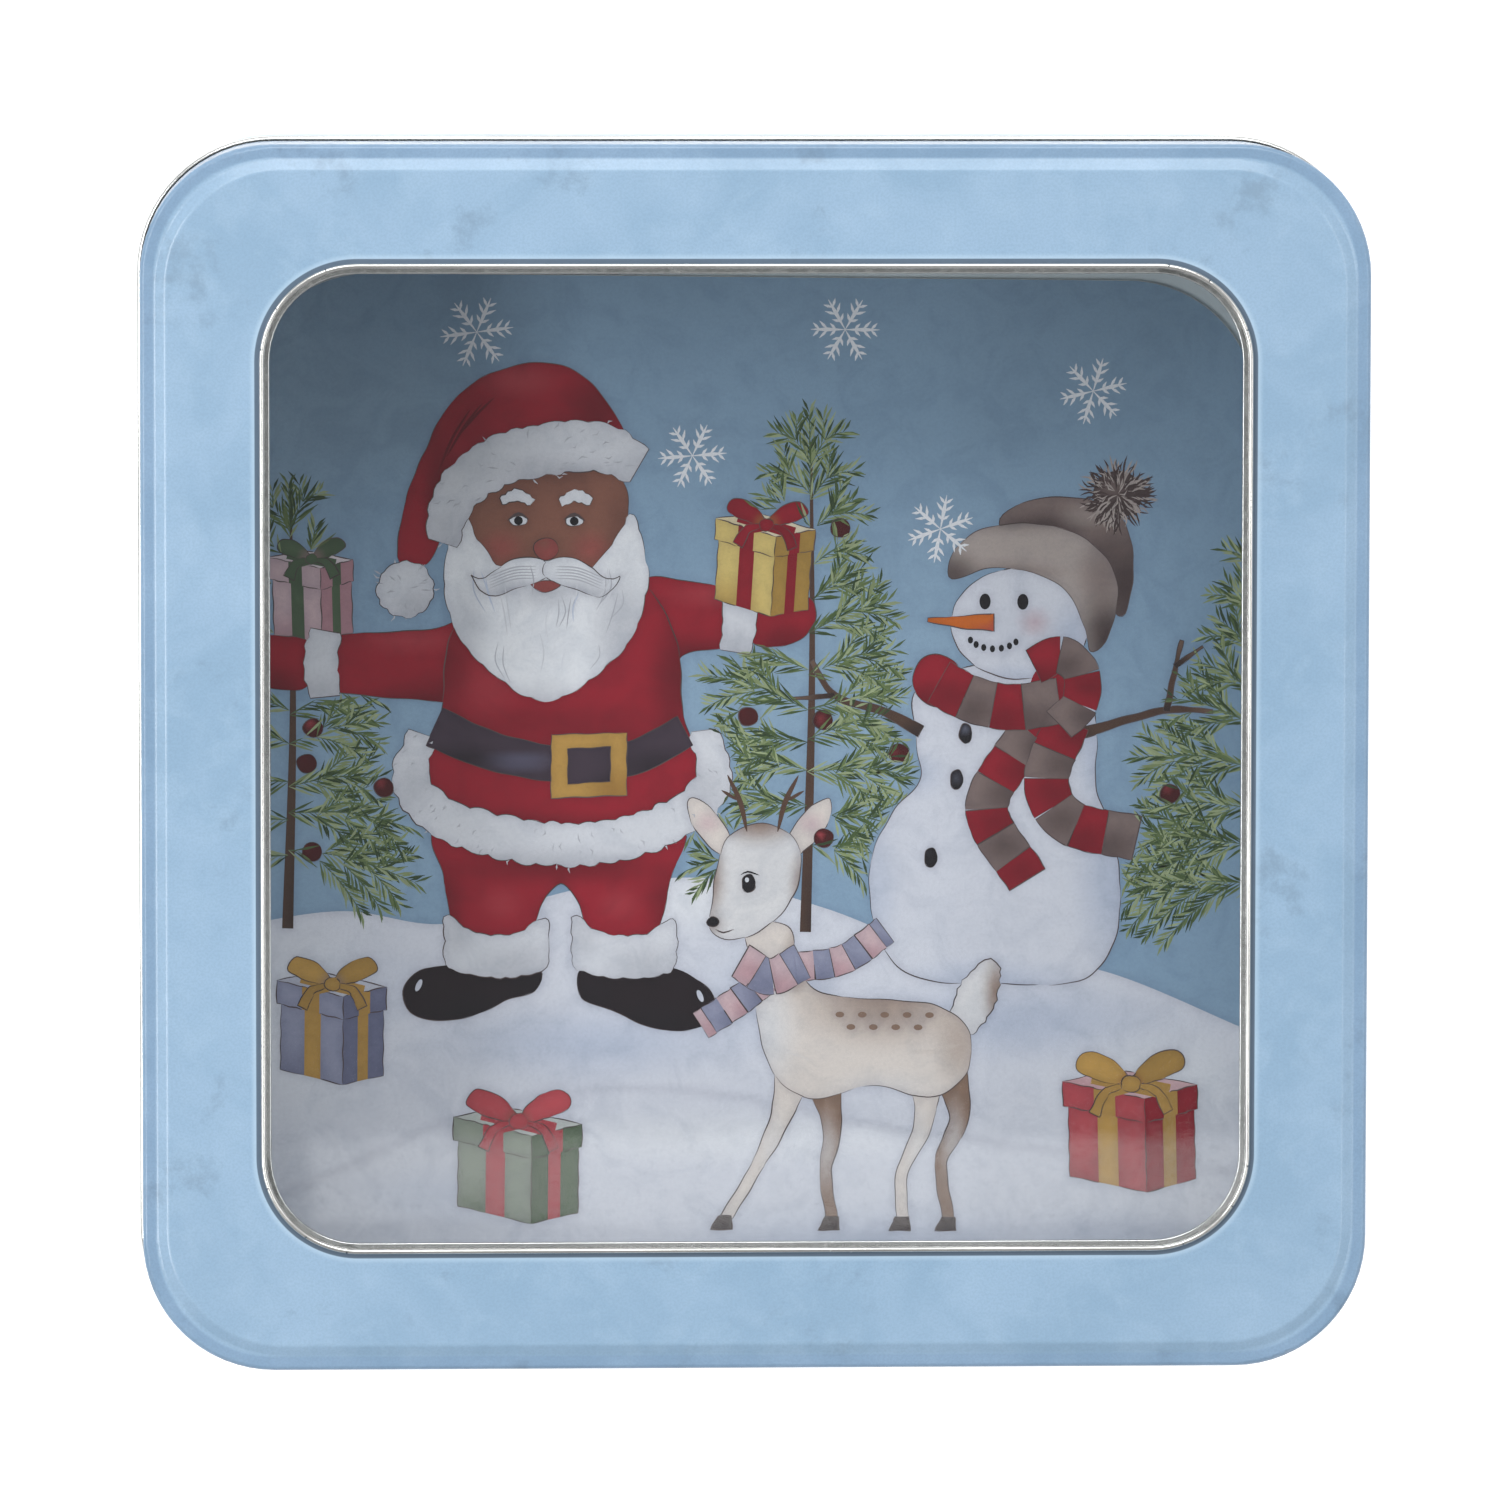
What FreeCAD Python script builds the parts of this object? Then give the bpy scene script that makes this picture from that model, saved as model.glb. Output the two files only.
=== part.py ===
import FreeCAD, Part
import math
import os
import Sketcher

# Square window tin: a slip lid with a clear pane over a seamed tin, and a loose
# picture card inside. Millimetres. The origin is on the surface the tin stands on,
# under its centre; +Z is up and +Y is the top of the picture.

DIMENSIONS = {
    "overall_height": 70.0,
    "sheet": 0.3,
    "lid_side": 200.0,
    "lid_corner": 21.5,
    "lid_edge_round": 0.8,
    "ledge_inset": 2.3,
    "step_width": 1.85,
    "panel_rise": 0.8,
    "panel_corner": 20.7,
    "step_round": 1.4,
    "skirt_height": 20.5,
    "skirt_curl": 0.55,
    "skirt_sweep": 275.0,
    "ring_rise": 0.8,
    "ring_sheet": 0.25,
    "ring_side": 161.52,
    "ring_corner": 16.0,
    "ring_ledge": 0.9,
    "ring_hem": 0.5,
    "ring_flange": 1.25,
    "lip_radius": 0.43,
    "lip_sweep": 225.0,
    "notch_width": 0.22,
    "notch_depth": 0.42,
    "fit_gap": 0.05,
    "lid_gap": 0.5,
    "rim_curl": 0.8,
    "rim_sweep": 300.0,
    "lock_seam_width": 5.0,
    "lock_seam_depth": 0.6,
    "groove_width": 0.3,
    "groove_depth": 0.14,
    "seam_height": 2.9,
    "body_hook_low": 0.6,
    "body_hook_top": 2.2,
    "seam_round": 0.45,
    "countersink": 3.0,
    "emboss_side": 124.0,
    "emboss_corner": 14.0,
    "emboss_rise": 0.5,
    "emboss_round": 0.25,
    "card_side": 171.5,
    "card_corner": 22.0,
    "card_sheet": 0.4,
    "card_shift_x": 0.85,
    "card_shift_y": -9.85,
    "card_turn": -0.58,
}

# Lengths that several pieces share, as formulas of the cells above.
PANEL_TOP = "(dims.overall_height - dims.ring_rise)"
PANEL_UNDER = f"({PANEL_TOP} - dims.sheet)"
LEDGE_TOP = f"({PANEL_TOP} - dims.panel_rise)"
SKIRT_LOW = f"({LEDGE_TOP} - dims.skirt_height)"
SKIRT_CURL_Z = f"({SKIRT_LOW} + dims.skirt_curl)"
LID_CENTRES = "(dims.lid_side / 2 - dims.lid_corner)"
STEP_FOOT = "(dims.lid_side / 2 - dims.ledge_inset)"
STEP_TOP = f"({STEP_FOOT} - dims.step_width)"
PANEL_CENTRES = f"({STEP_FOOT} - dims.panel_corner)"
LIP_Z = f"({PANEL_TOP} + dims.ring_rise - dims.lip_radius)"
RING_CENTRES = "(dims.ring_side / 2 - dims.ring_corner)"
COLLAR_IN = "(dims.ring_side / 2 - 2 * dims.lip_radius)"
COLLAR_OUT = f"({COLLAR_IN} + dims.ring_sheet)"
RING_INSIDE = f"({COLLAR_IN} - dims.ring_ledge)"
WALL_OUT = "(dims.lid_side / 2 - dims.sheet - dims.lid_gap)"
WALL_IN = f"({WALL_OUT} - dims.sheet)"
RIM_TOP = f"({LEDGE_TOP} - dims.sheet - dims.fit_gap)"
RIM_CURL_Z = f"({RIM_TOP} - dims.rim_curl)"
CHUCK_OUT = f"({WALL_IN} - dims.fit_gap)"
CHUCK_IN = f"({CHUCK_OUT} - dims.sheet)"
HOOK_OUT = f"({WALL_OUT} + dims.sheet)"
SEAM_IN = f"({HOOK_OUT} + dims.fit_gap)"
SEAM_OUT = f"({SEAM_IN} + dims.sheet)"
BASE_TOP = "(dims.countersink + dims.sheet)"
CARD_Z = f"({BASE_TOP} + dims.emboss_rise + dims.fit_gap)"

# Where the ring's rolled lip split as it was turned over, in degrees into each corner.
SPLIT_ANGLES = (7.5, 33.5, 71.0)
CORNERS = 4
NEAR = 1e-3

doc = FreeCAD.newDocument("window_tin")
dims = doc.addObject("Spreadsheet::Sheet", "dims")
for row, (alias, number) in enumerate(DIMENSIONS.items(), start=1):
    dims.set(f"A{row}", alias)
    dims.set(f"B{row}", str(number))
    dims.setAlias(f"B{row}", alias)
doc.recompute()


def value(formula):
    """The number that a formula of the sheet's cells gives now."""
    result = dims.evalExpression(formula)
    return float(getattr(result, "Value", result))


def new_body(label):
    body = doc.addObject("PartDesign::Body", label)
    body.Label = label
    return body


def new_sketch(body, name, role="XY_Plane", height=None):
    """A sketch on one of the body's own origin planes, lifted to a height."""
    sketch = body.newObject("Sketcher::SketchObject", name)
    plane = next(f for f in body.Origin.OriginFeatures if f.Role == role)
    sketch.AttachmentSupport = [(plane, "")]
    sketch.MapMode = "FlatFace"
    if height is not None:
        sketch.setExpression("AttachmentOffset.Base.z", height)
    return sketch


def constrain(sketch, kind, *parts, formula=None):
    """Adds a constraint, bound to a formula when one is given."""
    if formula is None:
        sketch.addConstraint(Sketcher.Constraint(kind, *parts))
        return
    number = value(formula)
    if kind == "Angle":
        number = math.radians(number)
    index = sketch.addConstraint(Sketcher.Constraint(kind, *parts, number))
    sketch.setExpression(f"Constraints[{index}]", formula)


def add_line(sketch, start, end):
    return sketch.addGeometry(
        Part.LineSegment(FreeCAD.Vector(*start, 0), FreeCAD.Vector(*end, 0)), False
    )


def add_arc(sketch, centre, radius, start_deg, end_deg):
    circle = Part.Circle(FreeCAD.Vector(*centre, 0), FreeCAD.Vector(0, 0, 1), radius)
    arc = Part.ArcOfCircle(circle, math.radians(start_deg), math.radians(end_deg))
    return sketch.addGeometry(arc, False)


def rounded_square(sketch, half, centres):
    """A square of the given half side about the origin, with quarter-round corners
    about points at the given distance from both centre lines."""
    out = value(half)
    mid = value(centres)
    sides = []
    arcs = []
    for quarter in range(CORNERS):
        turn = math.radians(90 * quarter)
        cos_t, sin_t = round(math.cos(turn)), round(math.sin(turn))

        def turned(x, y, c=cos_t, s=sin_t):
            return (x * c - y * s, x * s + y * c)

        sides.append(add_line(sketch, turned(out, -mid), turned(out, mid)))
        start = 90 * quarter
        arcs.append(add_arc(sketch, turned(mid, mid), out - mid, start, start + 90))
    for quarter in range(CORNERS):
        following = (quarter + 1) % CORNERS
        constrain(sketch, "Tangent", sides[quarter], 2, arcs[quarter], 1)
        constrain(sketch, "Tangent", arcs[quarter], 2, sides[following], 1)
        constrain(sketch, "Horizontal" if quarter % 2 else "Vertical", sides[quarter])
    for quarter in range(1, CORNERS):
        constrain(sketch, "Equal", arcs[0], arcs[quarter])
    constrain(sketch, "Equal", sides[0], sides[1])
    constrain(sketch, "Symmetric", sides[0], 1, sides[2], 1, -1, 1)
    constrain(sketch, "Radius", arcs[0], formula=f"{half} - {centres}")
    constrain(sketch, "DistanceX", -1, 1, sides[0], 1, formula=half)


def pad(body, name, length, height, *outlines):
    """A pad of nested rounded squares, each a (half side, corner centres) pair."""
    sketch = new_sketch(body, f"{name}_sketch", height=height)
    for half, centres in outlines:
        rounded_square(sketch, half, centres)
    feature = body.newObject("PartDesign::Pad", name)
    feature.Profile = sketch
    feature.setExpression("Length", length)
    sketch.Visibility = False
    doc.recompute()
    return feature


def pocket(body, name, sketch, length, upward=True):
    """A pocket that must take material away."""
    before = body.Shape.Volume
    feature = body.newObject("PartDesign::Pocket", name)
    feature.Profile = sketch
    feature.Reversed = upward
    feature.setExpression("Length", length)
    doc.recompute()
    if body.Shape.Volume > before - NEAR:
        raise ValueError(f"{name} cuts nothing")
    return feature


def curl(body, name, half, centres, tube, first_deg, sweep_deg, flat_end):
    """A rolled edge: an open tube of sheet led round a rounded square.

    tube holds its centre's distance from the middle, its centre's height, its outer
    radius and the sheet. flat_end is the end of the arc, 1 or 2, level with its
    centre, where the roll runs into a straight wall.
    """
    centre_x, centre_z, radius, sheet = tube
    path = new_sketch(body, f"{name}_path", height=centre_z)
    rounded_square(path, half, centres)
    section = new_sketch(body, f"{name}_section", "XZ_Plane")
    centre = (value(centre_x), value(centre_z))
    big = value(radius)
    small = big - value(sheet)
    last_deg = first_deg + value(sweep_deg)
    outer = add_arc(section, centre, big, first_deg, last_deg)
    inner = add_arc(section, centre, small, first_deg, last_deg)
    for end in (1, 2):
        angle = math.radians(first_deg if end == 1 else last_deg)
        ray = (math.cos(angle), math.sin(angle))
        near_point = tuple(c + small * r for c, r in zip(centre, ray))
        far_point = tuple(c + big * r for c, r in zip(centre, ray))
        cap = add_line(section, near_point, far_point)
        constrain(section, "Coincident", cap, 1, inner, end)
        constrain(section, "Coincident", cap, 2, outer, end)
        if end == flat_end:
            constrain(section, "Horizontal", cap)
        else:
            constrain(section, "PointOnObject", outer, 3, cap)
    constrain(section, "Coincident", outer, 3, inner, 3)
    constrain(section, "Horizontal", outer, 3, outer, flat_end)
    constrain(section, "DistanceX", -1, 1, outer, 3, formula=centre_x)
    constrain(section, "DistanceY", -1, 1, outer, 3, formula=centre_z)
    constrain(section, "Radius", outer, formula=radius)
    constrain(section, "Radius", inner, formula=f"{radius} - {sheet}")
    constrain(section, "Angle", outer, formula=sweep_deg)
    doc.recompute()
    feature = body.newObject("PartDesign::AdditivePipe", name)
    feature.Profile = section
    feature.Spine = (path, [f"Edge{i + 1}" for i in range(2 * CORNERS)])
    doc.recompute()
    return feature


def edges_round(shape, centres, radius, height):
    """Names of the edges at a height that go round a rounded square of that corner
    radius about the same corner centres."""
    mid = value(centres)
    names = []
    for index, edge in enumerate(shape.Edges, start=1):
        points = edge.discretize(5)
        reach = [math.hypot(max(abs(p.x) - mid, 0), max(abs(p.y) - mid, 0)) for p in points]
        level = all(abs(p.z - height) < NEAR for p in points)
        if level and all(abs(r - radius) < NEAR for r in reach):
            names.append(f"Edge{index}")
    return names


def fillet(body, name, radius, centres, loops):
    """Rounds whole loops of edges, each a (half side, height) pair of formulas."""
    base = body.Tip
    names = []
    for half, height in loops:
        corner = value(half) - value(centres)
        names += edges_round(base.Shape, centres, corner, value(height))
    if not names:
        raise ValueError(f"{name} found no edges")
    feature = body.newObject("PartDesign::Fillet", name)
    feature.Base = (base, names)
    feature.setExpression("Radius", radius)
    doc.recompute()
    return feature


def lowest_face(shape):
    lows = [face.BoundBox.ZMax for face in shape.Faces]
    return f"Face{lows.index(min(lows)) + 1}"


def make_lid():
    """Drawn tinplate: skirt, ledge, sloped step and raised panel with the window."""
    body = new_body("lid")
    half = "(dims.lid_side / 2)"
    skirt_length = f"{LEDGE_TOP} - {SKIRT_CURL_Z}"
    pad(body, "skirt_block", skirt_length, SKIRT_CURL_Z, (half, LID_CENTRES))
    step = pad(body, "panel_block", "dims.panel_rise", LEDGE_TOP, (STEP_FOOT, PANEL_CENTRES))
    step.setExpression("TaperAngle", "-atan(dims.step_width / dims.panel_rise)")
    doc.recompute()
    fillet(body, "outer_edge", "dims.lid_edge_round", LID_CENTRES, [(half, LEDGE_TOP)])
    bends = [(STEP_FOOT, LEDGE_TOP), (STEP_TOP, PANEL_TOP)]
    fillet(body, "step_bends", "dims.step_round", PANEL_CENTRES, bends)
    block = body.Tip
    shell = body.newObject("PartDesign::Thickness", "sheet_shell")
    shell.Base = (block, [lowest_face(block.Shape)])
    shell.setExpression("Value", "dims.sheet")
    shell.Reversed = True
    doc.recompute()
    window = new_sketch(body, "window_sketch", height=LEDGE_TOP)
    rounded_square(window, f"({COLLAR_OUT} + dims.fit_gap)", RING_CENTRES)
    pocket(body, "window_opening", window, "2 * dims.panel_rise")
    centre_x = f"{half} - dims.sheet + dims.skirt_curl"
    tube = (centre_x, SKIRT_CURL_Z, "dims.skirt_curl", "dims.sheet")
    curl(body, "skirt_curl", half, LID_CENTRES, tube, 180, "dims.skirt_sweep", flat_end=1)
    return body


def make_window_ring():
    """Tinplate ring: a hemmed ledge that carries the pane, a collar through the
    window, and a lip rolled outward over the lid's edge, which split at the corners."""
    body = new_body("window_ring")
    ledge_under = f"({PANEL_UNDER} - dims.ring_hem)"
    flange = f"({COLLAR_OUT} + dims.ring_flange)"
    pad(body, "ledge", "dims.ring_hem", ledge_under, (flange, RING_CENTRES), (RING_INSIDE, RING_CENTRES))
    collar = ((COLLAR_OUT, RING_CENTRES), (COLLAR_IN, RING_CENTRES))
    pad(body, "collar", f"{LIP_Z} - {PANEL_UNDER}", PANEL_UNDER, *collar)
    rim = [(RING_INSIDE, PANEL_UNDER), (RING_INSIDE, ledge_under)]
    fillet(body, "ledge_hem", "0.48 * dims.ring_hem", RING_CENTRES, rim)
    tube = (f"{COLLAR_IN} + dims.lip_radius", LIP_Z, "dims.lip_radius", "dims.ring_sheet")
    first = 180 - value("dims.lip_sweep")
    curl(body, "lip", COLLAR_OUT, RING_CENTRES, tube, first, "dims.lip_sweep", flat_end=2)
    notches = new_sketch(body, "split_sketch", height=PANEL_TOP)
    mid = value(RING_CENTRES)
    reach = value("dims.ring_corner")
    depth = value("dims.notch_depth")
    half_width = value("dims.notch_width") / 2
    for angle in SPLIT_ANGLES:
        ray = math.radians(90 - angle)
        along = (math.cos(ray), math.sin(ray))
        across = (-along[1], along[0])
        corners = []
        for far, side in ((-1, -1), (1, -1), (1, 1), (-1, 1)):
            out = reach + far * depth
            offset = side * half_width
            corners.append(tuple(mid + out * a + offset * c for a, c in zip(along, across)))
        for start, end in zip(corners, corners[1:] + corners[:1]):
            add_line(notches, start, end)
    cut = pocket(body, "splits", notches, "dims.ring_rise")
    pattern = body.newObject("PartDesign::PolarPattern", "corner_splits")
    pattern.Originals = [cut]
    pattern.Axis = (next(f for f in body.Origin.OriginFeatures if f.Role == "Z_Axis"), [""])
    pattern.Angle = 360
    pattern.Occurrences = CORNERS
    body.Tip = pattern
    doc.recompute()
    return body


def make_window_pane():
    """Clear sheet that lies on the ring's ledge, inside its collar."""
    body = new_body("window_pane")
    pane = (f"({COLLAR_IN} - dims.fit_gap)", RING_CENTRES)
    pad(body, "pane", "dims.sheet", PANEL_UNDER, pane)
    return body


def make_picture_card():
    """Printed card, loose on the tin's bottom, a little off centre and turned."""
    body = new_body("picture_card")
    centres = "(dims.card_side / 2 - dims.card_corner)"
    pad(body, "card", "dims.card_sheet", "0", ("(dims.card_side / 2)", centres))
    place = FreeCAD.Vector(value("dims.card_shift_x"), value("dims.card_shift_y"), value(CARD_Z))
    turn = FreeCAD.Rotation(FreeCAD.Vector(0, 0, 1), value("dims.card_turn"))
    body.Placement = FreeCAD.Placement(place, turn)
    return body


def make_tin_body():
    """Wrapped wall: rim rolled inward, lock seam at the back, hook at the bottom."""
    body = new_body("tin_body")
    wall = ((WALL_OUT, LID_CENTRES), (WALL_IN, LID_CENTRES))
    hook = ((HOOK_OUT, LID_CENTRES), (WALL_IN, LID_CENTRES))
    pad(body, "wall", f"{RIM_CURL_Z} - dims.body_hook_low", "dims.body_hook_low", *wall)
    pad(body, "hook", "dims.body_hook_top - dims.body_hook_low", "dims.body_hook_low", *hook)
    tube = (f"{WALL_OUT} - dims.rim_curl", RIM_CURL_Z, "dims.rim_curl", "dims.sheet")
    curl(body, "rim_curl", WALL_OUT, LID_CENTRES, tube, 0, "dims.rim_sweep", flat_end=1)
    lock = new_sketch(body, "lock_seam_sketch", height=f"{BASE_TOP} + dims.sheet")
    half_width = "(dims.lock_seam_width / 2)"
    inner_face = f"{WALL_IN} - dims.lock_seam_depth"
    rectangle(lock, f"-{half_width}", half_width, inner_face, f"{WALL_OUT} - dims.fit_gap")
    strip = body.newObject("PartDesign::Pad", "lock_seam")
    strip.Profile = lock
    strip.setExpression("Length", f"{RIM_CURL_Z} - dims.rim_curl - {BASE_TOP} - dims.sheet")
    doc.recompute()
    line = new_sketch(body, "seam_groove_sketch", height="dims.seam_height")
    edge = f"({half_width} - dims.groove_width)"
    rectangle(line, edge, half_width, f"{WALL_OUT} - dims.groove_depth", f"{WALL_OUT} + dims.sheet")
    pocket(body, "seam_groove", line, f"{RIM_CURL_Z} - dims.seam_height")
    return body


def rectangle(sketch, left, right, low, high):
    """An upright rectangle between four bound positions."""
    x0, x1, y0, y1 = (value(formula) for formula in (left, right, low, high))
    corners = [(x0, y0), (x1, y0), (x1, y1), (x0, y1)]
    lines = [add_line(sketch, a, b) for a, b in zip(corners, corners[1:] + corners[:1])]
    for line, following in zip(lines, lines[1:] + lines[:1]):
        constrain(sketch, "Coincident", line, 2, following, 1)
    for index, line in enumerate(lines):
        constrain(sketch, "Vertical" if index % 2 else "Horizontal", line)
    constrain(sketch, "DistanceX", -1, 1, lines[0], 1, formula=left)
    constrain(sketch, "DistanceX", -1, 1, lines[0], 2, formula=right)
    constrain(sketch, "DistanceY", -1, 1, lines[0], 1, formula=low)
    constrain(sketch, "DistanceY", -1, 1, lines[1], 2, formula=high)


def make_tin_bottom():
    """Countersunk bottom, embossed and seamed over the wall's hook."""
    body = new_body("tin_bottom")
    emboss_half = "(dims.emboss_side / 2)"
    emboss_mid = "(dims.emboss_side / 2 - dims.emboss_corner)"
    hook_low = "(dims.seam_height - dims.sheet)"
    hook_in = f"({WALL_OUT} + dims.fit_gap)"
    emboss_top = f"({BASE_TOP} + dims.emboss_rise)"
    pad(body, "panel", "dims.sheet", "dims.countersink", (CHUCK_OUT, LID_CENTRES))
    pad(body, "chuck_wall", BASE_TOP, "0", (CHUCK_OUT, LID_CENTRES), (CHUCK_IN, LID_CENTRES))
    pad(body, "seam_floor", "dims.sheet", "0", (SEAM_OUT, LID_CENTRES), (CHUCK_IN, LID_CENTRES))
    pad(body, "seam_wall", "dims.seam_height", "0", (SEAM_OUT, LID_CENTRES), (SEAM_IN, LID_CENTRES))
    pad(body, "cover_hook", "dims.sheet", hook_low, (SEAM_OUT, LID_CENTRES), (hook_in, LID_CENTRES))
    fillet(body, "seam_feet", "dims.seam_round", LID_CENTRES, [(SEAM_OUT, "0"), (CHUCK_IN, "0")])
    upper = [(SEAM_OUT, "dims.seam_height"), (CHUCK_OUT, BASE_TOP)]
    fillet(body, "seam_shoulders", "0.8 * dims.sheet", LID_CENTRES, upper)
    pad(body, "emboss", "dims.emboss_rise", BASE_TOP, (emboss_half, emboss_mid))
    hollow = new_sketch(body, "emboss_sketch_under", height="dims.countersink")
    rounded_square(hollow, f"({emboss_half} - dims.sheet)", emboss_mid)
    pocket(body, "emboss_hollow", hollow, "dims.emboss_rise")
    fillet(body, "emboss_edge", "dims.emboss_round", emboss_mid, [(emboss_half, emboss_top)])
    return body


def main():
    parts = [
        make_lid(),
        make_window_ring(),
        make_window_pane(),
        make_picture_card(),
        make_tin_body(),
        make_tin_bottom(),
    ]
    doc.recompute()
    for item in doc.Objects:
        if "Invalid" in item.State or "Error" in item.State:
            raise ValueError(f"{item.Label} failed: {item.State}")
    os.makedirs("parts", exist_ok=True)
    for part in parts:
        shape = part.Shape
        if shape.isNull() or not shape.isValid() or len(shape.Solids) != 1:
            raise ValueError(f"{part.Label} is not one valid solid")
        shape.exportStep(f"parts/{part.Label}.step")
        print(f"{part.Label}: {shape.Volume:.1f} mm3")


main()
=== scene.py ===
import math
import random

import bpy
from mathutils import Matrix, Vector
from mathutils.geometry import delaunay_2d_cdt
from mathutils.kdtree import KDTree


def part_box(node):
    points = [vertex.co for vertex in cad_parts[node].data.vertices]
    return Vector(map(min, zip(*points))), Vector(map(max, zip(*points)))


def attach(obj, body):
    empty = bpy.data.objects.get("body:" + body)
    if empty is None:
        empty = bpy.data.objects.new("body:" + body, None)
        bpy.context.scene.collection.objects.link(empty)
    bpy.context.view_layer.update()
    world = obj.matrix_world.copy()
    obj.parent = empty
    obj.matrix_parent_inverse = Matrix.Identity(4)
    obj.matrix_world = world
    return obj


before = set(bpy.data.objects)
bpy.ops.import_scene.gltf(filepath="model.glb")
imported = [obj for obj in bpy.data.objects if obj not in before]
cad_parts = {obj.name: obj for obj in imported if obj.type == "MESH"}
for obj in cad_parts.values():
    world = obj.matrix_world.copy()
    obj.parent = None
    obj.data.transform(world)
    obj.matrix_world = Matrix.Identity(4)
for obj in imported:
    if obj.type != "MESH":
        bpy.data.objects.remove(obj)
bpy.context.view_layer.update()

MM = 0.001

# Camera, in metres: how far above the lid it stands, the point that it looks at, and where it
# stands beside that point.
CAMERA_DISTANCE = 1.7
CAMERA_AIM = (-0.0011, 0.0016)
CAMERA_SIDESTEP = (-0.0727, 0.1472)
CAMERA_ROLL = 0.0012
CAMERA_LENS = 252.0
SENSOR = 36.0

# Light: radiance of the dome at the horizon, half way up and straight overhead, and the share by
# which it is dimmer on the near side, below the picture's foot.
DOME_HORIZON = 0.5
DOME_BRIGHT = 0.78
DOME_TOP = 0.22
DOME_NEAR_DIM = 0.6
FLOOR_SIZE = 8.0
FLOOR_GLOW = 0.5

# Middles of the corner arcs of the lid's outline and of its window.
LID_ARC_CENTRE = 78.5 * MM
WINDOW_ARC_CENTRE = 64.76 * MM

# ---------------------------------------------------------------- node helpers

# Places of the colour sockets on a Mix node.
RGBA_A, RGBA_B, RGBA_RESULT = 6, 7, 2
# How much of the light a clear sheet reflects when seen straight on.
FACE_ON_GLOSS = 0.04


class Nodes:
    """A node tree with short calls for the nodes that these materials use."""

    def __init__(self, tree):
        self.tree = tree
        self.tree.nodes.clear()

    def add(self, kind, inputs=None, **settings):
        node = self.tree.nodes.new(kind)
        for name, value in settings.items():
            setattr(node, name, value)
        for key, value in (inputs or {}).items():
            self.feed(node.inputs[key], value)
        return node

    def feed(self, socket, value):
        if isinstance(value, bpy.types.NodeSocket):
            self.tree.links.new(value, socket)
        elif isinstance(value, bpy.types.Node):
            self.tree.links.new(value.outputs[0], socket)
        elif isinstance(value, tuple) and len(value) == 3 and socket.type == "RGBA":
            socket.default_value = (*value, 1.0)
        else:
            socket.default_value = value

    def math(self, operation, *values):
        return self.add("ShaderNodeMath", dict(enumerate(values)), operation=operation).outputs[0]

    def vector(self, operation, *values):
        node = self.add("ShaderNodeVectorMath", dict(enumerate(values)), operation=operation)
        return node.outputs["Value" if operation in ("DOT_PRODUCT", "LENGTH") else "Vector"]

    def noise(self, where, scale, detail=4.0, roughness=0.55, distortion=0.0):
        values = {"Vector": where, "Scale": scale, "Detail": detail, "Roughness": roughness,
                  "Distortion": distortion}
        return self.add("ShaderNodeTexNoise", values).outputs["Fac"]

    def steps(self, value, low, high, to_low=0.0, to_high=1.0):
        """The value moved from low..high to to_low..to_high, smoothly and with its ends held."""
        values = {"Value": value, "From Min": low, "From Max": high, "To Min": to_low, "To Max": to_high}
        return self.add("ShaderNodeMapRange", values, interpolation_type="SMOOTHSTEP").outputs["Result"]

    def mix(self, share, first, second, blend_type="MIX"):
        node = self.add("ShaderNodeMix", data_type="RGBA", blend_type=blend_type)
        self.feed(node.inputs["Factor"], share)
        self.feed(node.inputs[RGBA_A], first)
        self.feed(node.inputs[RGBA_B], second)
        return node.outputs[RGBA_RESULT]

    def outline_distance(self, where, arc_centre, half):
        """How far outside a square with round corners, of this half width, a point lies."""
        past = self.vector("SUBTRACT", self.vector("ABSOLUTE", where), (arc_centre, arc_centre, 1.0))
        past = self.vector("MAXIMUM", past, (0.0, 0.0, 0.0))
        return self.math("SUBTRACT", self.vector("LENGTH", past), half - arc_centre)

    def bump(self, height, strength, distance):
        values = {"Height": height, "Strength": strength, "Distance": distance}
        return self.add("ShaderNodeBump", values).outputs["Normal"]

    def place(self, kind="Object"):
        """Where a point is, or with "Normal" which way it faces, in the frame at rest."""
        return self.add("ShaderNodeTexCoord").outputs[kind]

    def axis(self, vector, name):
        return self.add("ShaderNodeSeparateXYZ", {"Vector": vector}).outputs[name]

    def surface(self, shader):
        self.add("ShaderNodeOutputMaterial", {"Surface": shader})

    def principled(self, colour, roughness, normal=None, **others):
        """The principled shader as the surface. An underscore stands for a space in an input's name."""
        values = {"Base Color": colour, "Roughness": roughness}
        if normal is not None:
            values["Normal"] = normal
        values.update({name.replace("_", " "): value for name, value in others.items()})
        self.surface(self.add("ShaderNodeBsdfPrincipled", values).outputs[0])


def new_material(name):
    material = bpy.data.materials.new(name)
    material.use_nodes = True
    return material, Nodes(material.node_tree)


def darker(colour, share):
    return tuple(share * c for c in colour)


def metal_layer(nodes, where, tone, streaks):
    """Bare tinplate: rolled grain along one direction, faint handling marks and a soft bloom."""
    stretched = nodes.vector("MULTIPLY", where, streaks)
    grain = nodes.noise(stretched, 900.0, detail=3.0)
    bloom = nodes.noise(where, 38.0, detail=5.0)
    marks = nodes.noise(where, 260.0, detail=6.0, roughness=0.7, distortion=0.6)
    colour = nodes.mix(nodes.steps(bloom, 0.35, 0.7), tone, darker(tone, 0.82))
    colour = nodes.mix(nodes.steps(marks, 0.62, 0.78, 0.0, 0.35), colour, darker(tone, 0.6))
    rolled = nodes.steps(grain, 0.3, 0.7, 0.13, 0.22)
    return colour, nodes.math("ADD", rolled, nodes.steps(bloom, 0.4, 0.7, 0.0, 0.06)), grain


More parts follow.
